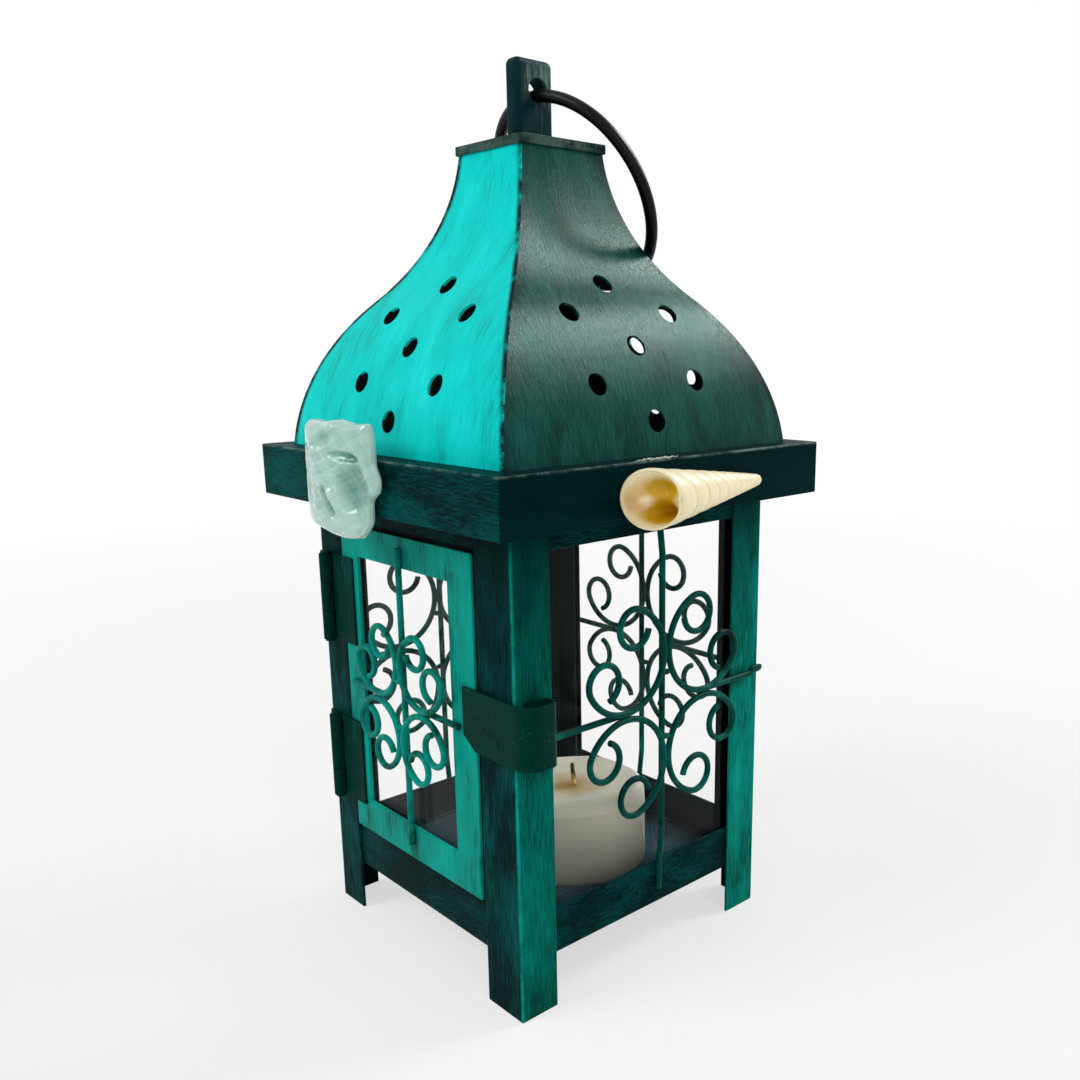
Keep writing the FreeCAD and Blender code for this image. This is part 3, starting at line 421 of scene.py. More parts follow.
def shell_lime(colours):
    """Shell of layered lime, worn to a dull polish: ivory with faint growth lines about 0.7 mm
    apart, tan in the grooves, and an ochre mouth with a white lip."""
    material, tree, shader = new_material("sea_shell_lime", Subsurface_Weight=0.15,
                                          Subsurface_Radius=(0.0013, 0.0012, 0.001),
                                          Subsurface_Scale=1.0, Specular_IOR_Level=0.4)
    spot = add_node(tree, "ShaderNodeTexCoord").outputs["Object"]
    mouth, groove = (add_node(tree, "ShaderNodeAttribute", attribute_name=layer).outputs["Fac"]
                     for layer in ("mouth", "groove"))
    scale = [1.0 / (size * MM) for size in (10 / 3, 5 / 7, 10 / 3)]
    drawn = add_node(tree, "ShaderNodeMapping", {"Vector": spot, "Scale": scale}).outputs[0]
    lines = add_node(tree, "ShaderNodeTexNoise", {"Vector": drawn, "Scale": 1.0, "Detail": 3.0}).outputs[0]
    stains = add_node(tree, "ShaderNodeTexNoise", {"Vector": spot, "Scale": 1.0 / (6.0 * MM),
                                                   "Detail": 3.0}).outputs[0]
    tanned = add_node(tree, "ShaderNodeMath", {0: groove, 1: stains}, operation="MULTIPLY").outputs[0]
    colour = colours.ivory
    for share, above in ((lines, colours.ivory_line), (tanned, colours.tan), (mouth, colours.ochre)):
        colour = add_node(tree, "ShaderNodeMix", {0: share, 6: colour, 7: above},
                          data_type="RGBA").outputs[2]
    polish = add_node(tree, "ShaderNodeMapRange", {"Value": lines, "To Min": 0.25, "To Max": 0.5}).outputs[0]
    relief = add_node(tree, "ShaderNodeBump", {"Strength": 0.35, "Distance": 0.15 * MM,
                                               "Height": lines}).outputs[0]
    finish_material(tree, shader, Base_Color=colour, Roughness=polish, Normal=relief)
    return material


def dried_glue(colours):
    """Hot-melt glue, set in lumps and threads: milky, half clear, softly shining."""
    material, tree, shader = new_material("set_hot_melt_glue", Transmission_Weight=0.25, IOR=1.48,
                                          Specular_IOR_Level=0.5)
    spot = add_node(tree, "ShaderNodeTexCoord").outputs["Object"]
    cloud = add_node(tree, "ShaderNodeTexNoise", {"Vector": spot, "Scale": 1.0 / (2.5 * MM),
                                                  "Detail": 3.0}).outputs[0]
    colour = add_node(tree, "ShaderNodeMix", {0: cloud, 6: colours.glue, 7: colours.glue_light},
                      data_type="RGBA").outputs[2]
    wet = add_node(tree, "ShaderNodeMapRange", {"Value": cloud, "To Min": 0.2, "To Max": 0.5}).outputs[0]
    finish_material(tree, shader, Base_Color=colour, Roughness=wet)
    return material


def seen_rays(tree):
    """One for rays of the eye, of gloss and of glass, else zero."""
    path = add_node(tree, "ShaderNodeLightPath").outputs
    seen = path["Is Camera Ray"]
    for kind in ("Is Glossy Ray", "Is Transmission Ray"):
        seen = add_node(tree, "ShaderNodeMath", {0: seen, 1: path[kind]}, operation="MAXIMUM").outputs[0]
    return seen


def coat(names, material):
    """Give the nodes that stay in view their finish."""
    for name in names:
        node = NODES[name]
        if not node.material_slots:
            node.data.materials.append(material)
        for slot in node.material_slots:
            slot.material = material


def place_piece(name, mesh, material, body):
    """Object of a smooth mesh with one material, riding on a body."""
    mesh.materials.append(material)
    mesh.shade_smooth()
    piece = bpy.data.objects.new(name, mesh)
    bpy.context.scene.collection.objects.link(piece)
    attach(piece, body)
    return piece


def soften(names, material, radius):
    """Copies of folded sheet pieces with merged triangles and rounded folds.

    Each edge whose faces turn by more than the fold angle gets a round of the given radius."""
    for name in names:
        cells = bmesh.new()
        cells.from_mesh(NODES[name].data)
        bmesh.ops.remove_doubles(cells, verts=cells.verts, dist=WELD)
        bmesh.ops.dissolve_limit(cells, angle_limit=math.radians(FLAT_ANGLE), verts=cells.verts,
                                 edges=cells.edges)
        mesh = bpy.data.meshes.new(name + "_sheet")
        cells.to_mesh(mesh)
        cells.free()
        if "custom_normal" in mesh.attributes:
            mesh.attributes.remove(mesh.attributes["custom_normal"])
        mesh.materials.clear()
        piece = place_piece(name + "_sheet", mesh, material, BODY[name])
        mesh.set_sharp_from_angle(angle=math.radians(FOLD_ANGLE))
        rounding = piece.modifiers.new("Fold", "BEVEL")
        rounding.width = radius
        rounding.segments = 2
        rounding.limit_method = "ANGLE"
        rounding.angle_limit = math.radians(FOLD_ANGLE)
        rounding.harden_normals = True
        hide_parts(name)


def grid_piece(name, grids, material, body, layers=None):
    """Object from one or more grids of points, each closed round its columns.

    Rows that shrink to a point become poles: their doubled points are merged and the faces are
    turned outwards. Layers are values for each point, kept as attributes."""
    points, faces, count = [], [], 0
    for grid in grids:
        rows, columns = grid.shape[:2]
        index = count + np.arange(rows * columns).reshape(rows, columns)
        beside = np.roll(index, -1, axis=1)
        faces.append(np.stack([index[:-1], beside[:-1], beside[1:], index[1:]], axis=-1).reshape(-1, 4))
        points.append(grid.reshape(-1, 3))
        count += rows * columns
    mesh = bpy.data.meshes.new(name)
    mesh.from_pydata(np.concatenate(points).tolist(), [], np.concatenate(faces).tolist())
    for layer, values in (layers or {}).items():
        made = mesh.attributes.new(layer, "FLOAT", "POINT")
        made.data.foreach_set("value", np.ascontiguousarray(values, dtype=np.float32).ravel())
    cells = bmesh.new()
    cells.from_mesh(mesh)
    bmesh.ops.remove_doubles(cells, verts=cells.verts, dist=MERGE)
    bmesh.ops.dissolve_degenerate(cells, edges=cells.edges, dist=MERGE)
    bmesh.ops.recalc_face_normals(cells, faces=cells.faces)
    cells.to_mesh(mesh)
    cells.free()
    return place_piece(name, mesh, material, body)


def full_turn(columns):
    """Angles of evenly spaced columns round a full turn."""
    return np.linspace(0.0, 2 * np.pi, columns, endpoint=False)


def turned(profile, columns):
    """Profile of (radius, height) rows turned about Z: a grid of rows by columns."""
    turn = full_turn(columns)
    radius, height = profile[:, :1], profile[:, 1:]
    return np.stack([radius * np.cos(turn), radius * np.sin(turn),
                     np.broadcast_to(height, (len(profile), columns))], axis=-1)


def lump(middle, halves, seed, rough=0.12, rows=20, columns=32):
    """Uneven round lump: a sphere stretched to its half sizes, its radius swelled by slow waves of
    both angles."""
    tilt = np.linspace(0.0, np.pi, rows)[:, None]
    turn = full_turn(columns)[None, :]
    waves = np.sin(3 * turn + seed) + 0.6 * np.sin(5 * turn - 2 * tilt + 2 * seed)
    swell = 1 + rough * np.sin(tilt) * waves
    unit = np.stack([np.sin(tilt) * np.cos(turn), np.sin(tilt) * np.sin(turn),
                     np.cos(tilt) + 0 * turn], axis=-1)
    return np.array(middle) + unit * swell[..., None] * np.array(halves)


def folded_strip(low, high, edge=0.25, rows=12, columns=48):
    """Long bar with rounded corners: a superellipse section, kept along the longest side.

    Cosine and sine of the turn are taken to the power of edge, which is low, so the faces are flat
    and only the corners are rounded. The ends close on the middle."""
    low, high = np.array(low) * MM, np.array(high) * MM
    middle, half = (low + high) / 2, (high - low) / 2
    run = int(np.argmax(half))
    first, second = (axis for axis in range(3) if axis != run)
    turn = full_turn(columns)
    share = np.concatenate([[-1.0], np.linspace(-1.0, 1.0, rows), [1.0]])
    size = np.concatenate([[0.0], np.ones(rows), [0.0]])
    points = np.zeros((len(share), columns, 3))
    points[..., run] = share[:, None] * half[run]
    for axis, wave in ((first, np.cos(turn)), (second, np.sin(turn))):
        points[..., axis] = size[:, None] * half[axis] * np.sign(wave) * np.abs(wave) ** edge
    return middle + points


class LANTERN_OT_sheet_body(bpy.types.Operator):
    """Posts, glazing strips, base tray and top frame in painted sheet"""

    bl_idname = "lantern.sheet_body"
    bl_label = "Sheet Body"

    def execute(self, context):
        colours, sizes = settings()
        trim = (colours.night, colours.night_light, colours.night)
        for row, side, corners in (("front", (colours.flange, colours.teal), CORNERS[:2]),
                                   ("rear", (colours.flange_rear, colours.teal_light), CORNERS[2:])):
            flange = hand_paint("brushed_flange_paint_" + row, trim, "z", stroke=(0.35, 7.0),
                                cover=(0.42, 0.98), shine=0.015, sway=0.8, grain=1.1, thin=(0.14, 0.48),
                                # Painted shade: the posts darken towards the top, under the rim's overhang
                                patch=11.0, side=side, rim_shade=(118.0, 168.0, 0.85),
                                wear=(colours.teal_light, "corner", (49.1, 50.0), (0.36, 0.62)),
                                inside=(colours.inside, 49.4))
            soften(["post_" + corner for corner in corners], flange, sizes.fold)
        rail = hand_paint("brushed_rail_paint", trim, "xy", stroke=(0.35, 3.5), cover=(0.44, 1.05),
                          shine=0.015, rough=(0.3, 0.5), patch=10.0, sway=0.6, grain=0.9,
                          thin=(0.1, 0.4), inside=(colours.floor, 48.6))
        soften(["base_tray", "top_frame"], rail, sizes.fold)
        primer = hand_paint("brushed_primer", (colours.inside, colours.night_light, colours.inside), "z",
                            stroke=(1.6, 40.0), cover=(0.6, 0.85), shine=0.06)
        coat(["glass_strip_" + corner for corner in CORNERS], primer)
        return {"FINISHED"}


class LANTERN_OT_roof(bpy.types.Operator):
    """Rim, ceiling plate, four ogee panels and cap"""

    bl_idname = "lantern.roof"
    bl_label = "Roof"

    def execute(self, context):
        colours, sizes = settings()
        rim = hand_paint("brushed_rim_paint", (colours.night, colours.night_light, colours.night), "xy",
                         stroke=(0.35, 3.5), cover=(0.38, 0.98), shine=0.015, patch=14.0, sway=0.7,
                         # The rim's faces that look along X take the dull side strokes as painted shade
                         grain=0.9, thin=(0.1, 0.4), side=(colours.night, colours.night_shaded_side),
                         wear=(colours.worn, "brim", (-0.8, -0.1), (0.4, 0.65)),
                         corner=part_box("roof_rim")[1], inner_shade=colours.inside)
        soften(["roof_rim"], rim, sizes.fold)
        coat(["roof_plate"], rim)
        panel_fold = 0.7 * sizes.fold
        for face in ("front", "rear"):
            # The lightest strokes stand partly for painted highlights on the brush ridges
            coats = (colours.bright, colours.bright_glint_strokes, colours.bright_deep)
            paint = hand_paint("brushed_turquoise_paint_" + face, coats, "yz", stroke=(0.35, 5.0),
                               cover=(0.5, 0.86), thin=(0.09, 0.44), patch=11.0, ridge=0.3,
                               rough=(0.32, 0.5), shine=0.03, sway=1.05, grain=0.95,
                               wear=(colours.night, "hip", (-2.6, -1.2), (0.34, 0.5)),
                               inner_shade=colours.inside)
            soften(["roof_panel_" + face], paint, panel_fold)
        for face in ("right", "left"):
            coats = (colours.slate, colours.slate_light, colours.night)
            paint = hand_paint("brushed_slate_paint_" + face, coats, "xz", stroke=(0.3, 4.0),
                               cover=(0.42, 0.85), thin=(0.16, 0.46), patch=12.0, ridge=0.24,
                               rough=(0.2, 0.34), shine=0.09, sway=0.7, grain=1.0,
                               wear=(colours.night, "hip", (-4.0, -1.0), (0.3, 0.6)),
                               inner_shade=colours.inside)
            soften(["roof_panel_" + face], paint, panel_fold)
        cap = hand_paint("rubbed_cap_paint", (colours.night, colours.slate_light, colours.night), "",
                         stroke=(1.2, 1.2), cover=(0.5, 0.9), rough=(0.4, 0.65), shine=0.03,
                         wear=(colours.cap_worn, "edge", (15.3, 15.9), (0.4, 0.6)))
        soften(["roof_cap"], cap, sizes.fold)
        return {"FINISHED"}


class LANTERN_OT_hanger(bpy.types.Operator):
    """Hanger bar and the loose ring"""

    bl_idname = "lantern.hanger"
    bl_label = "Hanger"

    def execute(self, context):
        colours = settings()[0]
        bar = hand_paint("rubbed_bar_paint", (colours.stub, colours.worn, colours.night), "z",
                         stroke=(0.8, 9.0), cover=(0.62, 0.95), patch=12.0, rough=(0.42, 0.6), shine=0.04)
        coat(["hanger_post"], bar)
        black = hand_paint("black_wire_paint", (colours.ring, colours.ring_light, colours.ring), "",
                           stroke=(2.0, 2.0), cover=(0.6, 0.8), rough=(0.28, 0.42), shine=0.12, gloss=WHITE)
        coat(["hanger_ring"], black)
        return {"FINISHED"}


class LANTERN_OT_door(bpy.types.Operator):
    """Door frame, its clips, the two hinges and the latch strap"""

    bl_idname = "lantern.door"
    bl_label = "Door"

    def execute(self, context):
        colours, sizes = settings()
        teal = hand_paint("brushed_teal_paint", (colours.teal, colours.teal_light, colours.teal_deep), "z",
                          stroke=(0.8, 14.0), cover=(0.52, 0.9), thin=(0.16, 0.44), patch=9.0,
                          rough=(0.32, 0.5), shine=0.03, grain=0.8)
        soften(["door_frame"], teal, sizes.fold)
        strap = hand_paint("speckled_strap_paint", (colours.strap, colours.strap_light, colours.night), "",
                           stroke=(1.1, 1.1), cover=(0.6, 0.8), patch=12.0, ridge=0.16, rough=(0.3, 0.5),
                           shine=0.03, sway=0.5, grain=0.8)
        soften(["door_latch"], strap, 0.6 * sizes.fold)
        coat(["door_glass_clips"], strap)
        leaf = hand_paint("brushed_hinge_paint", (colours.strap, colours.teal, colours.night), "z",
                          stroke=(0.8, 12.0), cover=(0.58, 1.0), shine=0.02, sway=0.7, grain=0.9, patch=12.0)
        coat(["hinge_%s_%s" % (part, level) for part in ("post_leaf", "door_leaf", "pin")
              for level in ("lower", "upper")], leaf)
        return {"FINISHED"}


class LANTERN_OT_door_stop(bpy.types.Operator):
    """Thin stop strips behind the door's edges that keep the draught out"""

    bl_idname = "lantern.door_stop"
    bl_label = "Door Stop"

    def execute(self, context):
        colours = settings()[0]
        low, high = (np.array(corner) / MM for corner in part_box("door_frame"))
        inner = -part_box("post_latch_side")[0][1] / MM - 1.0
        # Millimetres: upright strips lap the door's edges, and the head strip lies behind them
        foot, head = low[2] - 0.4, high[2] + 3.0
        left, right = low[0] - 3.0, high[0] + 4.0
        strips = [folded_strip((high[0] - 1.0, -inner, foot), (right, 0.7 - inner, head)),
                  folded_strip((left, -inner, foot), (low[0] + 1.0, 0.7 - inner, head)),
                  folded_strip((left, 0.9 - inner, high[2] - 1.2), (right, 1.6 - inner, head + 1.0))]
        primer = hand_paint("brushed_stop_primer", (colours.inside, colours.night_light, colours.inside),
                            "z", stroke=(0.8, 12.0), cover=(0.6, 0.9), shine=0.05)
        piece = grid_piece("door_stop", strips, primer, "lantern")
        return {"FINISHED"}


class LANTERN_OT_wirework(bpy.types.Operator):
    """Upright wires, cross wires and C scrolls, with their solder beads"""

    bl_idname = "lantern.wirework"
    bl_label = "Wirework"

    def execute(self, context):
        colours, sizes = settings()
        # The side wires' darker coat is partly painted shade of the lantern's shaded right side
        side = hand_paint("painted_side_wire", (colours.wire, colours.wire_light, colours.night), "",
                          stroke=(3.0, 3.0), cover=(0.54, 0.78), thin=(0.26, 0.42), patch=24.0,
                          rough=(0.35, 0.5), shine=0.05)
        door = hand_paint("painted_door_wire", (colours.wire_light, colours.teal, colours.teal_deep), "",
                          stroke=(3.0, 3.0), cover=(0.46, 0.6), thin=(0.3, 0.42), patch=18.0,
                          rough=(0.35, 0.5), shine=0.05)
        # Beads sit where the scrolls touch the upright: this share of the way to the scrolls' middles
        reach, thick, tall = 0.62, 0.8 * MM, 0.9 * MM
        for face in FACES + ("door",):
            paint = door if face == "door" else side
            coat([face + "_" + part for part in WIRES], paint)
            upper, lower = (middle_of(face + "_scrolls_" + half)[0] for half in ("upper", "lower"))
            level = (upper[2] + lower[2]) / 2
            rise = reach * abs(upper[2] - level)
            out = np.abs(OUTWARD[face])
            halves = out[[1, 0, 2]] * sizes.solder + out * thick + np.array([0, 0, tall])
            beads = [lump((upper[0], upper[1], height), halves, seed, rows=12, columns=16)
                     for seed, height in enumerate((level - rise, level + rise))]
            if face == "right":
                # Flattened end of the cross wire on the rear post
                beads.append(lump(np.array([50.9, 48.0, 83.5]) * MM, np.array([0.75, 3.2, 1.3]) * MM, 4.0,
                                  rows=12, columns=24))
            piece = grid_piece(face + "_solder", beads, paint, BODY[face + "_upright"])
        return {"FINISHED"}


class LANTERN_OT_glazing(bpy.types.Operator):
    """Three fixed panes and the door's pane"""

    bl_idname = "lantern.glazing"
    bl_label = "Glazing"

    def execute(self, context):
        coat(["glass_" + face for face in FACES] + ["door_glass"], window_glass())
        return {"FINISHED"}


class LANTERN_OT_candle(bpy.types.Operator):
    """Melted candle and its burnt wick"""

    bl_idname = "lantern.candle"
    bl_label = "Candle"

    def execute(self, context):
        colours, sizes = settings()
        x, y, level = CANDLE_MIDDLE
        foot, top = level - CANDLE_HALF[2], level + CANDLE_HALF[2]
        radius, tall = sizes.candle_radius, sizes.candle_height
        # Side, rounded lip and dish as shares of radius and height
        keys = np.array([(0.0, 0.0), (0.6, 0.0), (0.985, 0.0), (1.0, 0.03), (1.0, 0.4), (0.998, 0.78),
                         (0.99, 0.9), (0.96, 0.965), (0.9, 0.998), (0.82, 0.985), (0.6, 0.945),
                         (0.35, 0.928), (0.12, 0.925), (0.0, 0.926)])
        steps = np.linspace(0, len(keys) - 1, 90)
        profile = np.stack([np.interp(steps, np.arange(len(keys)), keys[:, i]) for i in (0, 1)], axis=1)
        points = turned(profile * (radius, tall), 128)
        # The lip sags in slow waves of the turn, and the side draws in a little towards the top
        turn = np.arctan2(points[..., 1], points[..., 0])
        share = np.hypot(points[..., 0], points[..., 1]) / radius
        lip = np.clip((points[..., 2] / tall - 0.7) / 0.3, 0, 1)
        sag = (0.5 * np.sin(2 * turn + 0.6) + 0.35 * np.sin(3 * turn + 2.0) + 0.2 * np.sin(7 * turn)) * MM
        points[..., 2] += sag * lip * share ** 2 - 0.5 * MM * lip * share ** 2
        squeeze = 1 - (0.006 + 0.004 * np.sin(5 * turn)) * np.clip(points[..., 2] / tall, 0, 1)
        points[..., :2] *= squeeze[..., None]
        points += np.array([x, y, foot])
        wax = candle_wax(colours, [x, y, foot + tall * 0.93])
        candle = grid_piece("melted_candle", [points], wax, "lantern")
        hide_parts("candle")
        # Wick: a three-ply tube that twists, thins and bends over
        low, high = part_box("candle_wick")
        share = np.linspace(0.0, 1.0, 24)
        columns = 16
        bend, lean = 1.6 * MM * share ** 2, 0.8 * MM * share ** 3
        path = np.array([x, y, low[2]]) + np.stack([-bend, lean, (high[2] - low[2]) * share], axis=1)
        girth = sizes.wick_radius * (1.0 - 0.35 * share) * np.where(share > 0.97, 0.0, 1.0)
        turn = full_turn(columns)
        ply = 1 + 0.12 * np.cos(3 * turn[None, :] + 9 * share[:, None])
        circle = np.stack([np.cos(turn), np.sin(turn), 0 * turn], axis=-1)
        tube = path[:, None, :] + circle[None] * (girth[:, None] * ply)[..., None]
        tube = np.concatenate([np.broadcast_to(path[:1, None, :], (1, columns, 3)), tube])
        wick = grid_piece("burnt_wick", [tube], burnt_cotton(colours, top), "lantern")
        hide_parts("candle_wick")
        return {"FINISHED"}


class LANTERN_OT_sea_glass(bpy.types.Operator):
    """Lump of sea-worn glass on the front of the rim"""

    bl_idname = "lantern.sea_glass"
    bl_label = "Sea Glass"

    def execute(self, context):
        colours, sizes = settings()
        # Outline as shares of half width and half height, anticlockwise seen from the front
        outline = np.array([(-1.0, -0.55), (-0.98, -0.1), (-0.93, 0.4), (-0.82, 0.86), (-0.74, 0.97),
                            (-0.3, 0.95), (0.1, 1.0), (0.5, 0.93), (0.84, 0.96), (0.88, 0.6), (0.87, 0.3),
                            (1.0, 0.05), (0.96, -0.15), (0.74, -0.32), (0.72, -0.7), (0.5, -0.95),
                            (0.15, -1.0), (-0.4, -0.92), (-0.8, -0.85), (-0.97, -0.74)])[::-1]
        columns, rows = 192, 110
        closed = np.vstack([outline, outline[:1]])
        at = np.linspace(0, len(outline), columns, endpoint=False)
        line = np.stack([np.interp(at, np.arange(len(closed)), closed[:, i]) for i in (0, 1)], axis=1)
        wrapped = np.concatenate([line[-MARGIN:], line, line[:MARGIN]])
        line = np.stack([np.convolve(wrapped[:, i], SMOOTH, mode="valid") for i in (0, 1)], axis=1)
        # From the middle of the back, over the rounded edge, to the middle of the front
        share = np.linspace(0.0, 1.0, rows)
        stops, crown = [0.0, 0.25, 0.34, 0.44, 0.54, 0.64, 1.0], 0.94
        reach = np.interp(share, stops, [0.0, 0.86, 0.96, 1.0, 0.985, 0.9, 0.0])
        depth = np.interp(share, stops, [0.0, 0.0, 0.12, 0.36, 0.64, 0.84, crown])
        for curve in (reach, depth):
            curve[MARGIN:-MARGIN] = np.convolve(curve, SMOOTH, mode="valid")
        flat = reach[:, None, None] * line[None]
        u, v = flat[..., 0], flat[..., 1]
        front = np.clip((share[:, None] - 0.42) / 0.2, 0.0, 1.0)

        def chip(across, up, wide, tall, lean, deep):
            """Shell-shaped chip: an elliptic paraboloid with a crisp rim, turned by the lean."""
            side = (u - across) * math.cos(lean) + (v - up) * math.sin(lean)
            rise = (v - up) * math.cos(lean) - (u - across) * math.sin(lean)
            return deep * np.clip(1 - (side / wide) ** 2 - (rise / tall) ** 2, 0, 1)

        def crease(x0, y0, x1, y1, wide, tall):
            """Sharp-crested fold between two points: falls off evenly with the distance to their line."""
            run = np.array([x1 - x0, y1 - y0])
            along = np.clip(((u - x0) * run[0] + (v - y0) * run[1]) / run.dot(run), 0, 1)
            gap = np.hypot(u - x0 - along * run[0], v - y0 - along * run[1])
            return tall * np.exp(-gap / wide)

        # Body: the lowest of a few tilted planes, thin on the right. Then chips, folds and fine ripples
        planes = np.stack([0 * u + crown, 1.16 + 0.5 * u + 0.05 * v, 0.8 - 0.48 * u + 0.06 * v,
                           1.26 - 0.42 * v, 1.12 + 0.3 * v + 0.12 * u])
        body = np.clip(planes.min(axis=0) / crown, 0.0, 1.0)
        chips = sum(chip(*sizing) for sizing in (
            (0.5, -0.08, 0.34, 0.52, 0.15, 0.2), (0.34, 0.4, 0.34, 0.1, -0.1, 0.2),
            (-0.05, -0.45, 0.09, 0.25, 0.3, 0.24), (-0.12, -0.2, 0.08, 0.13, 0.0, 0.2),
            (-0.62, -0.05, 0.24, 0.5, 0.1, 0.08), (-0.1, 0.66, 0.3, 0.14, 0.4, 0.08)))
        folds = sum(crease(*sizing) for sizing in (
            (-0.47, 0.88, -0.3, 0.2, 0.1, 0.08), (-0.3, 0.2, 0.05, -0.27, 0.1, 0.1),
            (0.05, -0.27, 0.38, -0.62, 0.09, 0.12), (0.55, -0.1, 0.8, 0.14, 0.06, 0.08),
            (0.0, -0.7, 0.55, -0.78, 0.07, 0.08)))
        ripples = sum(high * np.sin(across * u + up * v) for high, across, up in (
            (0.01, 17, 9), (0.008, -11, 23), (0.006, 41, 33), (0.005, -29, 57)))
        relief = (folds + ripples - chips) * (1 - reach[:, None] ** 5)
        # Painted light: chips go greener, partly as painted shade in their hollows, while folds, ripple crests
        # and the lower part go paler as painted highlight
        relief_shading = 0.22 + 3.6 * chips - 2.0 * folds - 8.0 * ripples - 0.4 * np.clip(-v - 0.45, 0, 1)
        relief_shading = np.clip(relief_shading, 0.0, 1.0) * front
        out = np.clip(depth[:, None] * body + front * relief, 0.0, 1.0)
        points = np.stack([PEBBLE_MIDDLE[0] + u * PEBBLE_HALF[0],
                           PEBBLE_MIDDLE[1] + PEBBLE_HALF[1] - out * sizes.pebble_thick,
                           PEBBLE_MIDDLE[2] + v * PEBBLE_HALF[2]], axis=-1)
        piece = grid_piece("sea_worn_glass", [points], sea_glass_frost(colours), "lantern", {"relief_shading": relief_shading})
        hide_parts("sea_glass")
        return {"FINISHED"}


def mound(across, up, middle, widths):
    """Bell-shaped mound: e to the power of minus the squared distances in widths."""
    return np.exp(-((across - middle[0]) / widths[0]) ** 2 - ((up - middle[1]) / widths[1]) ** 2)


class LANTERN_OT_turret_shell(bpy.types.Operator):
    """Turret shell with wound whorls and an open mouth"""

    bl_idname = "lantern.turret_shell"
    bl_label = "Turret Shell"

    def execute(self, context):
        colours, sizes = settings()
        columns, rows, mouth_rows = 96, 420, 39
        radius, length, tip = sizes.shell_radius, sizes.shell_length, 1.5 * MM
        turn = full_turn(columns)[None, :]
        # Whorl height shrinks by a constant share, so the whorl count is a logarithm of the height
        shrink, whorls = 0.87, 12.0
        share = np.linspace(0.0, 1.0, rows)[:, None]
        whorl = np.log(1 - share * (1 - shrink ** whorls)) / np.log(shrink)
        bulge = np.sin(np.pi * np.mod(whorl + turn / (2 * np.pi), 1.0)) ** 0.4
        cone = tip + (radius - tip) * (1 - share) ** 0.94
        rounding = np.sqrt(np.clip(1 - np.clip((share * length - length + tip) / tip, 0, 1) ** 2, 0, 1))
        wall = cone * (0.915 + 0.085 * bulge) * rounding
        wall[-1] = 0.0
        # Mouth plane slants: its outer side lies further back than its side at the rim
        slant = 0.36 * radius
        mouth_plane = slant * (1 + np.cos(turn))
        # Mouth: the lip rolls in and the bowl falls to an off-centre throat beside an arch and a pillar
        inward = np.linspace(0.0, 1.0, mouth_rows + 1)[::-1][:-1, None]
        bowl = wall[:1] * (1 - inward) ** 0.8 * 0.97
        side, up = bowl * np.cos(turn) / radius, bowl * np.sin(turn) / radius
        throat = mound(side, up, (0.08, -0.48), (0.58, 0.36))
        arch = mound(side, up, (0.18, 0.3), (0.56, 0.36))
        pillar = mound(side, up - 0.5 * side, (-0.42, 0.02), (0.26, 0.16))
        stain = mound(side, up, (-0.66, -0.1), (0.3, 0.5))
        dip = (9.0 * throat + 3.5 * arch - 1.5 * pillar) * (1 - np.exp(-6 * inward)) * MM
        lip = -0.5 * MM * np.exp(-((inward - 0.04) / 0.05) ** 2)
        around = np.concatenate([bowl, wall])
        height = np.concatenate([dip + lip + slant * (1 + side),
                                 mouth_plane + share * (length - mouth_plane)])
        around[0] = 0.0
        height[0] = height[0].mean()
        colouring = (2.2 * throat + 1.8 * arch - 1.6 * pillar) * np.clip(inward * 8 - 0.8, 0, 1)
        mouth = np.concatenate([np.clip(colouring, 0, 1), np.zeros_like(wall)])
        groove = np.concatenate([1.9 * stain, (1 - bulge) ** 3])
        # The axis lies along the rim, its tip leaning in
        low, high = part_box("turret_shell")
        lean = math.atan2(radius - tip, length)
        clear = 0.8 * MM
        start = np.array([high[0] - radius * math.cos(lean) + clear, low[1] + radius * math.sin(lean),
                          SHELL_MIDDLE[2] + clear])
        ahead = np.array([-math.sin(lean), math.cos(lean), 0.0])
        beside = np.array([math.cos(lean), math.sin(lean), 0.0])
        above = np.array([0.0, 0.0, 1.0])
        points = (start + height[..., None] * ahead + (around * np.cos(turn))[..., None] * beside
                  + (around * np.sin(turn))[..., None] * above)
        piece = grid_piece("wound_turret_shell", [points], shell_lime(colours), "lantern",
                           {"mouth": mouth, "groove": groove})
        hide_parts("turret_shell")
        return {"FINISHED"}


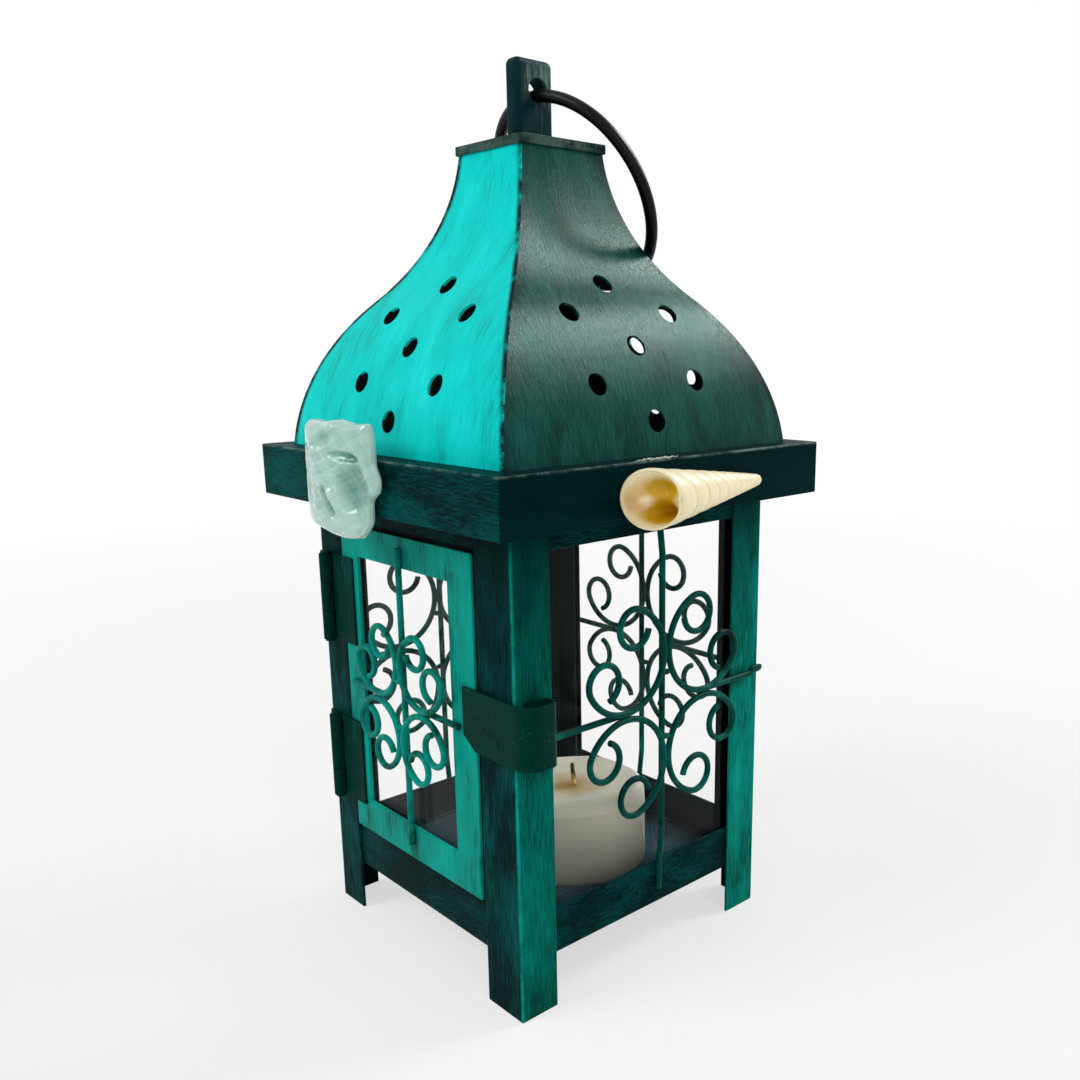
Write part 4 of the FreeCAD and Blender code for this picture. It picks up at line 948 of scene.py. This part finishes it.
class LANTERN_OT_glue(bpy.types.Operator):
    """Set glue behind the sea glass and round the shell"""

    bl_idname = "lantern.glue"
    bl_label = "Glue"

    def execute(self, context):
        colours = settings()[0]
        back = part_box("glue")[0][1]
        rim = np.array(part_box("roof_rim")[1])
        # A thin dab behind the sea glass and a thicker one behind the shell, as middle and half sizes
        grids = [lump((PEBBLE_MIDDLE[0], back + 0.4 * MM, PEBBLE_MIDDLE[2]),
                      (6.8 * MM, 0.42 * MM, 6.6 * MM), 1.0),
                 lump((rim[0] + 1.0 * MM, -12.5 * MM, 147.0 * MM), (1.3 * MM, 7.5 * MM, 3.6 * MM), 2.0)]
        # Threads drawn out over the rim: thin tubes on sideways waves
        threads, girth, first, apart = 6, 0.14 * MM, -18.0, 2.1
        run = np.linspace(0.0, 1.0, 40)
        taper = girth * np.sin(np.pi * run) ** 0.3
        turn = full_turn(8)
        tube = np.stack([np.cos(turn), 0 * turn, np.sin(turn)], axis=-1)
        for number in range(threads):
            y = (first + apart * number) * MM
            path = np.stack([rim[0] + (0.4 - 1.8 * run + 0.5 * np.sin(4 * run + 2.3 * number)) * MM,
                             y + (7.0 * run + 0.8 * np.sin(6 * run + 1.7 * number)) * MM,
                             rim[2] + (0.1 + 0.3 * np.sin(9 * run + number) ** 2) * MM], axis=-1)
            grids.append(path[:, None, :] + taper[:, None, None] * tube[None])
        piece = grid_piece("set_glue", grids, dried_glue(colours), "lantern")
        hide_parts("glue")
        return {"FINISHED"}


class LANTERN_OT_stage(bpy.types.Operator):
    """Pale floor, soft light, white surroundings and the camera"""

    bl_idname = "lantern.stage"
    bl_label = "Stage"

    def execute(self, context):
        scene = context.scene
        scene.view_settings.view_transform = "Standard"
        # Floor: a disc whose shadow stays while far parts turn white
        rings, columns = np.array([0.0, 0.2, 0.5, 1.0, 2.0, 4.0, 9.0, 20.0]), 64
        disc = turned(np.stack([rings, 0 * rings], axis=1), columns)
        index = np.arange(disc.shape[0] * columns).reshape(-1, columns)
        beside = np.roll(index, -1, axis=1)
        faces = np.stack([index[1:-1], index[2:], beside[2:], beside[1:-1]], axis=-1).reshape(-1, 4).tolist()
        mesh = bpy.data.meshes.new("pale_floor")
        mesh.from_pydata(disc.reshape(-1, 3).tolist(), [], faces + [index[1].tolist()])
        floor = bpy.data.objects.new("pale_floor", mesh)
        scene.collection.objects.link(floor)
        material, tree, shader = new_material("pale_studio_floor", Roughness=0.9, Specular_IOR_Level=0.0,
                                              Base_Color=linear("#F2F2F0"))
        spot = add_node(tree, "ShaderNodeTexCoord").outputs["Object"]
        away = add_node(tree, "ShaderNodeVectorMath", {0: spot}, operation="LENGTH").outputs[1]
        far = add_node(tree, "ShaderNodeMapRange", {"Value": away, "From Min": 0.15, "From Max": 0.9,
                                                    "To Min": 0.62, "To Max": 1.0}).outputs[0]
        share = add_node(tree, "ShaderNodeMath", {0: seen_rays(tree), 1: far}, operation="MULTIPLY").outputs[0]
        white = add_node(tree, "ShaderNodeEmission", {"Color": WHITE, "Strength": 1.0})
        both = add_node(tree, "ShaderNodeMixShader", {0: share, 1: shader.outputs[0], 2: white.outputs[0]})
        tree.links.new(both.outputs[0], tree.nodes["Material Output"].inputs["Surface"])
        mesh.materials.append(material)
        # White surroundings for what the eye, metal and glass see, and a softer fill for the rest
        world = scene.world or bpy.data.worlds.new("studio")
        scene.world = world
        world.use_nodes = True
        tree = world.node_tree
        back = tree.nodes["Background"]
        back.inputs["Color"].default_value = WHITE
        strength = add_node(tree, "ShaderNodeMapRange", {"Value": seen_rays(tree), "To Min": 0.4,
                                                         "To Max": 1.0}).outputs[0]
        tree.links.new(strength, back.inputs["Strength"])
        for name, place, size, power in LAMPS:
            lamp = bpy.data.lights.new(name, "AREA")
            lamp.shape = "DISK"
            lamp.size = size
            lamp.energy = power
            light = bpy.data.objects.new(name, lamp)
            scene.collection.objects.link(light)
            light.location = place
            light.visible_diffuse = name != "sheen"
            aim = np.array(LAMP_AIM) - np.array(place)
            light.rotation_euler = (math.atan2(math.hypot(aim[0], aim[1]), -aim[2]), 0,
                                    math.atan2(-aim[0], aim[1]))
        lens = bpy.data.cameras.new("view")
        lens.sensor_width, lens.lens, lens.clip_start = SENSOR, FOCUS, NEAREST
        lens.shift_x, lens.shift_y = VIEW_SHIFT
        camera = bpy.data.objects.new("view", lens)
        scene.collection.objects.link(camera)
        pose = Matrix.Translation(VIEW_PLACE)
        for degrees, axis in VIEW_TURNS:
            pose = pose @ Matrix.Rotation(math.radians(degrees), 4, axis)
        camera.matrix_world = pose
        scene.camera = camera
        return {"FINISHED"}


STEPS = (LANTERN_OT_sheet_body, LANTERN_OT_roof, LANTERN_OT_hanger, LANTERN_OT_door,
         LANTERN_OT_door_stop, LANTERN_OT_wirework, LANTERN_OT_glazing, LANTERN_OT_candle,
         LANTERN_OT_sea_glass, LANTERN_OT_turret_shell, LANTERN_OT_glue, LANTERN_OT_stage)


class LANTERN_PT_sidebar(bpy.types.Panel):
    """Lists the lantern's settings and the operators that build it"""

    bl_idname = "LANTERN_PT_sidebar"
    bl_label = "Candle Lantern"
    bl_space_type = "VIEW_3D"
    bl_region_type = "UI"
    bl_category = "Lantern"

    def draw(self, context):
        for group in (context.scene.lantern_sizes, context.scene.lantern_colours):
            for key in group.__annotations__:
                self.layout.prop(group, key)
        for step in STEPS:
            self.layout.operator(step.bl_idname)


CLASSES = (LanternColours, LanternSizes) + STEPS + (LANTERN_PT_sidebar,)


def register():
    """Register the classes and hang the settings on the scene."""
    for item in CLASSES:
        bpy.utils.register_class(item)
    bpy.types.Scene.lantern_colours = bpy.props.PointerProperty(type=LanternColours)
    bpy.types.Scene.lantern_sizes = bpy.props.PointerProperty(type=LanternSizes)


def unregister():
    """Take the settings and classes away again."""
    del bpy.types.Scene.lantern_sizes
    del bpy.types.Scene.lantern_colours
    for item in reversed(CLASSES):
        bpy.utils.unregister_class(item)


def main():
    """Build every piece in order."""
    register()
    for step in STEPS:
        group, name = step.bl_idname.split(".")
        getattr(getattr(bpy.ops, group), name)()


if __name__ == "__main__":
    main()
